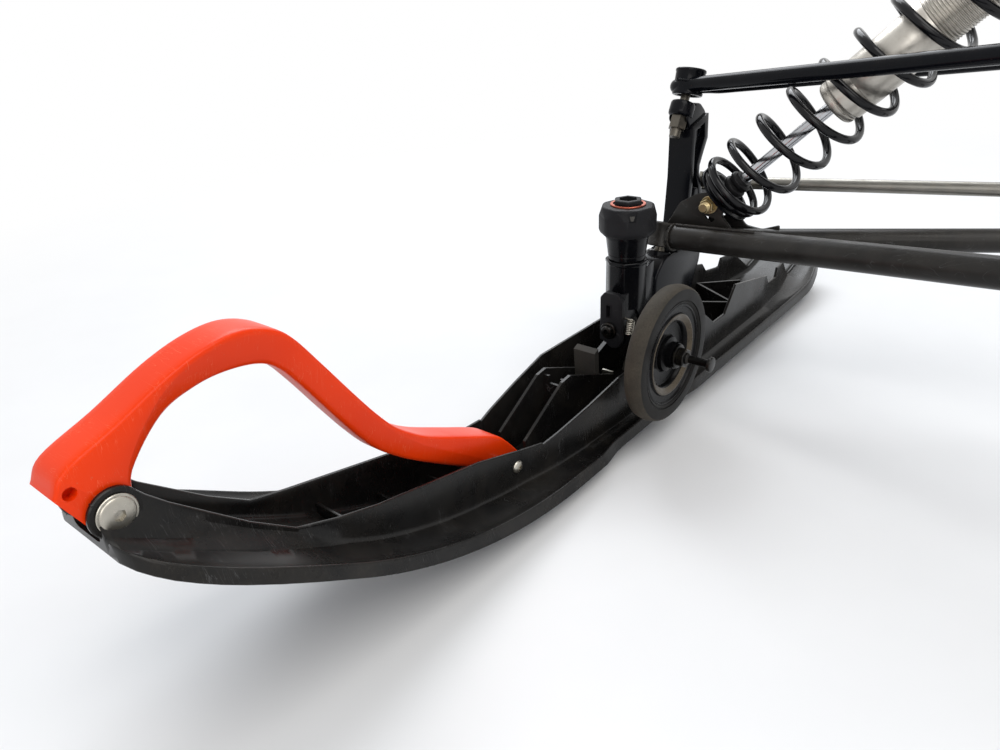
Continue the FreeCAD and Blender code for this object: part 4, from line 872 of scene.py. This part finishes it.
add("lower_arm_plates", merged(plates), "suspension", "satin", smooth=34, bevel=0.6,
    cuts=[bolt_hole, window])
front_way = (LOWER_FRONT - lower_low).normalized()


def on_front_tube(y, out, up):
    p = lower_low + front_way * ((y - lower_low.y) / front_way.y)
    return (p.x + out, y, p.z + up)


beads = [ring_bead(lower_low + front_way * 17.0, front_way, 14.2, 1.6)]
beads.append(bead([on_front_tube(y, 1.5, 14.6) for y in range(18, 126, 12)], 1.9))
beads.append(bead([on_front_tube(y, -7.5, 12.4) for y in range(24, 126, 12)], 1.7))
for centre, start, r in ((LOWER_FRONT, lower_low, FRONT_TUBE_R), (LOWER_REAR, lower_back, REAR_TUBE_R)):
    way = (centre - start).normalized()
    beads.append(ring_bead(centre - way * 15.4, way, r + 0.6, 1.9))
ends = [arm_pivot(LOWER_FRONT), arm_pivot(LOWER_REAR), cup(LOWER_BALL, -KINGPIN)]
add("lower_arm_ends", merged(ends + beads), "suspension", "satin", smooth=40)

# The upper arm: the front tube runs past the joint and turns back round it
u_front, u_back = UPPER_BALL + Vector((6, 0, -2)), UPPER_BALL + Vector((-14, 30, -4))
u_way = (UPPER_FRONT - u_front).normalized()
front_line = smooth_line([UPPER_BALL + Vector((-13, -11, -6)), UPPER_BALL + Vector((0, -13.5, -4.5)),
                          u_front + u_way * -6 + Vector((3.5, -1, 0)), u_front + u_way * 14,
                          u_front + u_way * 34], 10)
front_line = [Vector(p) for p in front_line] + [UPPER_FRONT]
rear_line = smooth_line([UPPER_BALL + Vector((-6, 6, -4)), UPPER_BALL + Vector((-12, 20, -4)), u_back,
                         u_back + (UPPER_REAR - u_back).normalized() * 20], 8)
rear_line = [Vector(p) for p in rear_line] + [UPPER_REAR]
add("upper_arm_tubes", merged([sweep(line, UPPER_TUBE_R, 32) for line in (front_line, rear_line)]),
    "suspension", "paint", smooth=34, replaced=["upper_arm"],
    cuts=[pivot_bore(centre) for centre in (UPPER_FRONT, UPPER_REAR)])
beads = [ring_bead(centre - (centre - start).normalized() * 15.2, (centre - start).normalized(), 8.2, 1.5)
         for centre, start in ((UPPER_FRONT, u_front), (UPPER_REAR, u_back))]
beads.append(bead([UPPER_BALL + Vector(p) for p in ((14.5, 8, 4), (15.4, 0, 5), (14, -8, 5))], 1.5))
ends = [arm_pivot(UPPER_FRONT), arm_pivot(UPPER_REAR), cup(UPPER_BALL, -KINGPIN)]
add("upper_arm_ends", merged(ends + beads), "suspension", "paint", smooth=40)


# The spindle

COLUMN = [(-104, 290), (-141, 299), (-143, 272), (-134, 257), (-127, 244), (-127, 236), (-134, 222),
          (-140, 200), (-133, 130), (-96, 130), (-97, 165), (-100, 190), (-104, 232)]
POCKET = [(-112, 284), (-133, 290), (-135, 274), (-127, 260), (-119.5, 246), (-119.5, 234), (-127, 220),
          (-132, 200), (-127, 176), (-104, 176), (-105, 182), (-108, 194), (-112.5, 234)]
LEG = [(-138, 158), (-96, 158), (-84, 157), (-48, 157), (-30, 140), (-30, 96), (-42, 62), (-46, 48),
       (-60, 42), (-76, 48), (-86, 62), (-118, 96), (-138, 132)]
column_frame = ring_prism(COLUMN, POCKET, "xz", -14, 14)
column_web = prism([(x * 0.97 - 3.6, z) for x, z in POCKET], "xz", -9, 9)
# Room for the arm's housing, for the lower stud's nut and for the ski's bolt
STUD_HOLE_R = 6.05
lower_room = [cylinder(LOWER_BALL, -KINGPIN, 0, 18.5, 20.5, 48),
              cylinder(LOWER_BALL, -KINGPIN, 36, 58, 11.5, 40),
              cylinder(SKI_BOLT, Y, -30, 30, STUD_HOLE_R, 32)]
stud_room = cylinder(UPPER_BALL, UPPER_STUD, 0, 60, STUD_HOLE_R, 32)
add("spindle_column", column_frame, "steering", "paint", smooth=44, bevel=2.2, segments=3,
    replaced=["spindle"], cuts=[stud_room])
add("spindle_web", column_web, "steering", "paint", smooth=44, bevel=0.6)
add("spindle_leg", prism(rounded(LEG, 8), "xz", -17, 17), "steering", "paint", smooth=40, bevel=2.4,
    segments=3, cuts=lower_room)
boss_rows = [(6.1, 22.4), (6.7, 21.9), (10.8, 22.0), (12.6, 22.6), (13.4, 24.2), (13.5, 27), (13.5, 33),
             (13.2, 35.6), (12.0, 37.2), (10.4, 37.9), (6.7, 38.0), (6.1, 37.5)]
shoulder = prism(rounded([(-113, 312), (-125, 312), (-141, 300), (-141, 282), (-106, 284), (-92, 300)], 7),
                 "xz", -11.5, 11.5)
add("spindle_boss", ring_lathe(UPPER_BALL, UPPER_STUD, boss_rows, 44), "steering", "paint", smooth=44)
upper_room = cylinder(UPPER_BALL, UPPER_STUD, 37.9, 66, 10.5, 40)
add("spindle_shoulder", shoulder, "steering", "paint", smooth=44, bevel=3.0, segments=4,
    cuts=[stud_room, upper_room])
STEER_LOW, STEER_T = -18.0, 10.0
s_side = (X - KINGPIN * X.dot(KINGPIN)).normalized()
s_across = KINGPIN.cross(s_side)


def on_steer(a, b, h):
    return TIE_OUTER + s_side * a + s_across * b + KINGPIN * h


outline = rounded([(-9, 8), (-12, 0), (-9, -8), (0, -12), (10, -12), (34, -13), (56, -14), (56, 14), (34, 13),
                   (10, 12), (0, 12)], 5)
sections = [[on_steer(a, b, STEER_LOW + h) for a, b in outline] for h in (0, STEER_T)]
add("steering_arm", loft(sections), "steering", "paint", smooth=44, bevel=1.6, segments=3,
    cuts=[cylinder(TIE_OUTER, KINGPIN, -40, 0, 5.05, 28)])
lower_boss = ring_lathe(LOWER_BALL, -KINGPIN, [(6.1, 19.2), (6.8, 18.6), (13, 18.6), (14, 19.6), (14, 36),
                                               (6.1, 36)], 44)
add("spindle_foot_boss", lower_boss, "steering", "paint", smooth=44)


# The adjuster

ADJ = Vector((6, 0, 0))
KNOB_SIDES = 8
EIGHTH = 360 / KNOB_SIDES
KNOB_TURN, BARREL_TURN, POINTER_TURN = (math.radians(d) for d in (28 - EIGHTH / 2, 24 - EIGHTH / 2, 40))


def faceted(rows, sides, turn_by):
    """Rings of a polygon with cut corners: rows of (distance of a flat from the axis, height, corner cut)."""
    sections = []
    for across, z, corner in rows:
        ring = []
        edge = across * math.tan(math.pi / sides)
        for i in range(sides):
            a = turn_by + 2 * math.pi * i / sides
            normal, along_way = Vector((math.cos(a), math.sin(a), 0)), Vector((-math.sin(a), math.cos(a), 0))
            for t in (-1, 1):
                ring.append(ADJ + normal * across + along_way * (edge - corner) * t + Z * z)
        sections.append(ring)
    return loft(sections)


knob_rows = [(24.6, 198.1, 2.3), (26.6, 198.3, 2.3), (28.0, 201.2, 2.3), (28.45, 203.0, 2.3),
             (28.5, 204.5, 2.3), (28.5, 217.5, 2.3), (28.45, 218.2, 2.9), (28.1, 225.4, 8.6),
             (27.6, 226.9, 9.2), (26.3, 227.9, 9.4)]
pointer_way = Vector((math.cos(POINTER_TURN), math.sin(POINTER_TURN), 0))
notch_side = Vector((-pointer_way.y, pointer_way.x, 0))


def on_face(outline, near, far):
    """An outline of (across, height) on the knob's pointer face, drawn out between two distances."""
    return loft([[ADJ + pointer_way * out + notch_side * a + Z * z for a, z in outline]
                 for out in (near, far)])


notch = on_face([(-3.2, 216.4), (3.2, 216.4), (5.6, 229), (-5.6, 229)], 26.9, 34.0)
add("adjuster_cap", faceted(knob_rows, KNOB_SIDES, KNOB_TURN), "steering", "knob", smooth=24, bevel=0.45,
    replaced=["adjuster_knob"], cuts=[notch])
mark = on_face([(-1.4, 217.6), (1.4, 217.6), (2.6, 222.4), (-2.6, 222.4)], 26.6, 27.3)
add("adjuster_pointer", mark, "steering", "knob_pale", smooth=30)
thrust_rows = [(15.6, 227.9), (18.2, 227.9), (18.5, 228.2), (18.5, 229.2), (18.1, 229.6), (15.6, 229.6)]
add("thrust_ring", ring_lathe(ADJ, Z, thrust_rows), "steering", "copper", smooth=34)
hex_turn = Vector((math.cos(0.55), math.sin(0.55), 0))
hex_body = hex_bar(ADJ, Z, 27.0, 227.9, 234.0, 1.6, hex_turn)
hex_hole = hex_bar(ADJ, Z, 17.5, 229.0, 238.0, 0.0, hex_turn)
add("adjuster_drive", hex_body, "steering", "knob", smooth=24, bevel=0.3, replaced=["adjuster_hex"],
    cuts=[hex_hole])
collar_rows = [(0, 170.6), (18.2, 170.6), (19.4, 171.0), (19.6, 171.8), (19.9, 175.6), (19.7, 176.0),
               (20.2, 176.6), (22.4, 193.5), (23.0, 194.6), (23.0, 198.0), (0, 198.0)]
add("adjuster_skirt", lathe(ADJ, Z, collar_rows, 56), "steering", "gloss_black", smooth=30,
    replaced=["adjuster_collar"])
BARREL_CUT = 1.2
barrel_rows = [(20.4, 118), (20.4, 165.6), (21.2, 167.0), (21.3, 169.4), (20.7, 170.3)]
barrel = faceted([(across, z, BARREL_CUT) for across, z in barrel_rows], KNOB_SIDES, BARREL_TURN)
LEVER_AXIS_Z = 98
front_hole = cylinder(Vector((0, 0, LEVER_AXIS_Z)), X, 0, 60, 4.05, 24)
block = prism(rounded([(-14, 78), (31.9, 78), (31.9, 130), (25, 138), (-14, 138)], 3), "xz", -11, 13)
web_plan = [(-29.7, 98), (-2, 98), (-2, 160), (-29.7, 138)]
webs = [prism(rounded(web_plan, 2.5), "xz", low, low + 4) for low in (-15, -2, 11)]
bulge = lathe((-4, -9, 120), Z, [(0, 0), (10, 0), (16.5, 6), (18.5, 14), (18.5, 28), (16, 36), (9, 42),
                              (0, 43)], 36)
add("adjuster_tower", merged([barrel, block, bulge] + webs), "steering", "gloss_black", smooth=32, bevel=0.7,
    replaced=["adjuster_column"], cuts=[front_hole])
GUSSET_T = 5
gusset_points = [Vector(p) for p in ((-29.7, 14, 160), (-8, 16, 158), (14, 15.2, 124), (-2, 15.2, 100),
                                     (-29.7, 15, 112))]
gusset_far = [p - Y * GUSSET_T for p in gusset_points]
add("adjuster_gusset", loft([gusset_far, gusset_points]), "steering", "gloss_black", smooth=28, bevel=0.8)

lever_outline = rounded([(-12, 84), (13, 84), (15, 90), (15, 132), (9, 140), (-7, 140), (-12, 134)], 1.6)
slot_outline = rounded([(-5, 111), (1.5, 111), (1.5, 127), (-5, 127)], 1.5)
slot_cut = prism(slot_outline, "yz", 30, 41)
add("lever_plate", prism(lever_outline, "yz", 32.05, 38.6), "steering", "knob", smooth=30, bevel=0.9,
    segments=3, replaced=["adjuster_lever"], cuts=[slot_cut])
slot_rim = ring_prism(slot_outline, rounded([(-4.2, 111.8), (0.7, 111.8), (0.7, 126.2), (-4.2, 126.2)], 1.2),
                      "yz", 33, 39.2)
cam_rows = [(0, 0), (9.6, 0), (10.3, 0.6), (10.3, 6.2), (9.6, 6.9), (0, 6.9)]
add("lever_cam", merged([lathe((32.05, 4.5, 88), X, cam_rows, 44), slot_rim]), "steering", "knob", smooth=34)
screw_rows = [(0, -28), (3.95, -28), (3.95, 0.05), (9.1, 0.05), (9.4, 0.4), (9.4, 2.2), (9.0, 2.8),
              (7.7, 3.2), (7.4, 2.7), (6.9, 2.7), (6.6, 3.4), (6.4, 5.4), (5.8, 6.4), (4.6, 6.9), (2.0, 7.0)]
screw_start = Vector((39.05, 0, LEVER_AXIS_Z))
add("lever_screw", lathe(screw_start, X, screw_rows, 44), "steering", "dark_steel", smooth=34,
    replaced=["adjuster_bolt"], cuts=[hex_bar(screw_start, X, 5.6, 3.2, 9.0, 0.0)])
COIL_TURNS, COIL_STEPS, COIL_R, COIL_RISE = 7, 24, 3.7, 15.5
coil_side, coil_up, coil_way = frame_of((0.05, 0.18, 1), X)
coil = []
for i in range(COIL_TURNS * COIL_STEPS + 1):
    a = 2 * math.pi * i / COIL_STEPS
    coil.append(Vector((31, 19.5, 96)) + coil_way * (COIL_RISE * i / (COIL_TURNS * COIL_STEPS))
                + (coil_side * math.cos(a) + coil_up * math.sin(a)) * COIL_R)
pegs = [sweep(ends, 1.1, 14) for ends in (((31, 12, 95.2), (31, 19.5, 95.2)),
                                          ((31, 12, 112.6), (31.8, 22.6, 112.6)))]
add("lever_spring", merged([sweep(coil, 0.82, 10)] + pegs), "steering", "steel", smooth=60)


# The transport wheel

tyre_rows = [(51.5, -7.5), (53, -8.7), (54, -8.9), (54.3, -8.3), (55.0, -8.3), (55.3, -9.1), (63, -9.5),
             (66, -9.1), (67.6, -7.7), (68.6, -4.8), (69.2, -2.4), (69.5, 0), (69.2, 2.4), (68.6, 4.8),
             (67.6, 7.7), (66, 9.1), (63, 9.5), (55.3, 9.3), (55.0, 8.3), (54.3, 8.3), (54, 8.9), (53, 8.7),
             (51.5, 7.5)]
tyre = add("wheel_tread", ring_lathe(WHEEL_CENTRE, Y, tyre_rows, 112), "transport_wheel", "tread", smooth=30,
           replaced=["wheel_tyre"])
tyre.data.materials.append(M["wall"])
TREAD_FROM = 0.0655
hub_place = D(WHEEL_CENTRE)
for face in tyre.data.polygons:
    out = face.center - hub_place
    face.material_index = 0 if math.hypot(out.x, out.z) > TREAD_FROM else 1
disc_rows = [(5.1, -10.9), (14.6, -10.9), (15, -10.4), (15.4, -3.4), (44.5, -3.0), (45.5, -4.2), (46, -7.3),
             (47, -7.8), (51.2, -7.5), (51.45, -7.0), (51.45, 7.0), (51.2, 7.5), (49.6, 7.7), (48.8, 6.3),
             (42.6, 5.7), (41.6, 7.1), (40.4, 7.5), (39.2, 7.2), (34.2, 4.4), (33.2, 3.2), (32.4, -0.6),
             (30.6, -1.4), (19.5, -1.4), (18.4, -0.6), (17.4, 3.2), (13.4, 4.4), (13.0, 11.3), (5.1, 11.3)]
add("wheel_disc", ring_lathe(WHEEL_CENTRE, Y, disc_rows, 96), "transport_wheel", "hub", smooth=30,
    replaced=["wheel_rim"])
hub_ring_rows = [(34.6, 4.7), (39.4, 7.42), (40.3, 7.7), (41.3, 7.35), (41.6, 6.6), (38, 5.0)]
add("hub_ring", ring_lathe(WHEEL_CENTRE, Y, hub_ring_rows, 96), "transport_wheel", "hub_bronze", smooth=40)
HUB_END = 96.5
hub = Vector((WHEEL_CENTRE.x, 0, WHEEL_CENTRE.z))
crank_way = (hub - WHEEL_PIVOT).normalized()
crank_side = Vector((-crank_way.z, 0, crank_way.x))
CRANK_HALF, CRANK_LOW, CRANK_HIGH = 11, 66.5, 71.5
outline = []
for centre, start_deg in ((hub, -90), (WHEEL_PIVOT, 90)):
    for degrees in range(start_deg, start_deg + 181, 15):
        a = math.radians(degrees)
        p = centre + (crank_way * math.cos(a) + crank_side * math.sin(a)) * CRANK_HALF
        outline.append((p.x, p.z))
pivot_rows = [(0, 37), (8.4, 37), (9, 37.6), (9, 40.4), (8.4, 41), (5, 41), (5, 71.5), (0, 71.5)]
crank_parts = [prism(outline, "xz", CRANK_LOW, CRANK_HIGH), lathe(WHEEL_PIVOT, Y, pivot_rows, 36)]
add("crank_plate", merged(crank_parts), "wheel_arm", "dark_steel", smooth=34, bevel=0.6,
    replaced=["wheel_crank"])
# Rows of (radius, height over the hub's outer end)
axle_rows = [(0, -29.9), (4.95, -29.9), (4.95, 0.3), (11.6, 0.3), (12.0, 0.7), (12.0, 1.9), (11.4, 2.3),
             (9.4, 2.3), (9.6, 3.6), (4.0, 3.6), (0, 3.6)]
pin_rows = [(0, 8), (5.9, 8), (5.9, 11.4), (5.2, 12.4), (4.0, 13.4), (4.1, 16), (4.0, 31.6), (4.4, 32.8),
            (6.6, 33.2), (7.5, 33.8), (7.6, 36.0), (7.1, 36.8), (6.2, 37.0), (0, 37.0)]
hub_end = hub + Y * HUB_END
nut = hex_bar(hub_end, Y, 17.4, 2.4, 10.2, 1.6)
add("axle_pin", merged([lathe(hub_end, Y, axle_rows, 40), nut, lathe(hub_end, Y, pin_rows, 36)]), "wheel_arm",
    "dark_steel", smooth=34)


# The ski's bolts

SINK, WASHER_STEP, SOCKET_DEPTH = 0.05, 0.9, 2.2
# Name: centre, half length, node, slot, (head, its height, socket, washer, shank)
SKI_BOLTS = {
    "nose_bolt": (NOSE_BOLT, 19.5, "loop_nose_bolt", "bright_steel", (11.4, 3.9, 3.2, 12.0, 4.95)),
    "rear_screw": (LOOP_SCREW, 34.7, "loop_rear_screw", "zinc_steel", (6.3, 2.9, 2.0, None, 2.95)),
}
for name, (centre, half, node, slot, dims) in SKI_BOLTS.items():
    radius, height, socket, washer, shank = dims
    pieces, cutters = [cylinder(centre, Y, -half, half, shank, 32)], []
    for side in (1, -1):
        head = radius - (WASHER_STEP if washer else 0)
        solid, hole = domed_bolt(centre, Y * side, half + SINK, head, height, socket, washer)
        pieces.append(solid)
        cutters.append(hole)
    add(name, merged(pieces), "ski", "steel", smooth=40, replaced=[node], cuts=cutters)


# Room, light and camera

def seen_directly(tree):
    """1 for camera, glossy and transmission rays, 0 for the light that falls on the object."""
    path = tree.nodes.new("ShaderNodeLightPath")
    found = path.outputs["Is Camera Ray"]
    for kind in ("Is Glossy Ray", "Is Transmission Ray"):
        either = tree.nodes.new("ShaderNodeMath")
        either.operation = "MAXIMUM"
        tree.links.new(found, either.inputs[0])
        tree.links.new(path.outputs[kind], either.inputs[1])
        found = either.outputs[0]
    return found


FLOOR_HALF = 12.0


def build_stage():
    n = Nodes("floor_paint")
    fleck = n.noise(6.0, 3.0)
    n.shade(color=n.mix(n.ramp(fleck, 0.3, 0.7), (0.80, 0.80, 0.79), (0.83, 0.83, 0.82)), rough=0.85,
        specular=0.2)
    # Far from the object the floor fades into the white of the backdrop
    away = n.tree.nodes.new("ShaderNodeVectorMath")
    away.operation = "LENGTH"
    n.link(n.coord, away.inputs[0])
    fade = n.math("MULTIPLY", n.ramp(away.outputs["Value"], 0.9, 2.0), seen_directly(n.tree))
    white = n.tree.nodes.new("ShaderNodeEmission")
    white.inputs["Color"].default_value = (1, 1, 1, 1)
    white.inputs["Strength"].default_value = 1.0
    mixed = n.tree.nodes.new("ShaderNodeMixShader")
    n.link(fade, mixed.inputs["Fac"])
    n.link(n.bsdf.outputs["BSDF"], mixed.inputs[1])
    n.link(white.outputs[0], mixed.inputs[2])
    n.link(mixed.outputs[0], n.out.inputs["Surface"])
    corners = [(-1, -1), (1, -1), (1, 1), (-1, 1)]
    mesh = bpy.data.meshes.new("floor")
    mesh.from_pydata([(x * FLOOR_HALF, y * FLOOR_HALF, D(0, 0, 0).z) for x, y in corners], [], [(0, 1, 2, 3)])
    mesh.materials.append(n.mat)
    floor = linked("floor", mesh)

    world = bpy.data.worlds.new("room")
    bpy.context.scene.world = world
    world.use_nodes = True
    tree = world.node_tree
    tree.nodes.clear()
    out = tree.nodes.new("ShaderNodeOutputWorld")
    ambient = tree.nodes.new("ShaderNodeBackground")
    ambient.inputs["Color"].default_value = (0.86, 0.90, 1.0, 1)
    ambient.inputs["Strength"].default_value = 0.42
    white = tree.nodes.new("ShaderNodeBackground")
    white.inputs["Color"].default_value = (1, 1, 1, 1)
    white.inputs["Strength"].default_value = 1.0
    mix = tree.nodes.new("ShaderNodeMixShader")
    tree.links.new(seen_directly(tree), mix.inputs["Fac"])
    tree.links.new(ambient.outputs[0], mix.inputs[1])
    tree.links.new(white.outputs[0], mix.inputs[2])
    tree.links.new(mix.outputs[0], out.inputs["Surface"])


def lamp(name, place, target, size, power, color=(1, 1, 1)):
    data = bpy.data.lights.new(name, "AREA")
    data.shape = "RECTANGLE"
    data.size, data.size_y = size
    data.energy = power
    data.color = color
    obj = linked(name, data)
    obj.location = place
    obj.rotation_euler = (Vector(target) - Vector(place)).to_track_quat("-Z", "Y").to_euler()


# The camera that matches the photograph: turns in degrees, place in metres, focal length in pixels
CAMERA_TURNS, CAMERA_PLACE, CAMERA_FOCAL = (26.76, -3.05, 220.34), (0.707, -0.021, 0.223), 780.5
PICTURE_WIDTH, SENSOR_WIDTH = 1000, 36.0


def build_camera():
    pitch, roll, yaw = (math.radians(turn) for turn in CAMERA_TURNS)
    heading = Vector((math.cos(yaw), math.sin(yaw), 0))
    forward = heading * math.cos(pitch) - Z * math.sin(pitch)
    right = heading.cross(Z)
    upward = right.cross(forward)
    r = right * math.cos(roll) + upward * math.sin(roll)
    u = upward * math.cos(roll) - right * math.sin(roll)
    data = bpy.data.cameras.new("camera")
    data.sensor_fit = "HORIZONTAL"
    data.sensor_width = SENSOR_WIDTH
    data.lens = CAMERA_FOCAL / PICTURE_WIDTH * SENSOR_WIDTH
    data.clip_start = 0.02
    obj = linked("camera", data)
    turn = Matrix((r, u, -forward)).transposed().to_4x4()
    obj.matrix_world = Matrix.Translation(Vector(CAMERA_PLACE)) @ turn
    bpy.context.scene.camera = obj


build_stage()
lamp("window_back", (-1.6, -1.8, 2.2), (0, -0.3, -0.1), (2.6, 1.8), 75, (0.93, 0.96, 1.0))
lamp("key_top", (0.6, 0.9, 2.4), (0.1, -0.4, -0.1), (2.0, 2.0), 42, (1.0, 0.98, 0.95))
lamp("side_fill", (2.2, 0.6, 1.0), (0.2, -0.4, -0.1), (1.5, 1.2), 14, (1.0, 0.98, 0.96))
build_camera()
bpy.context.scene.view_settings.view_transform = "Standard"
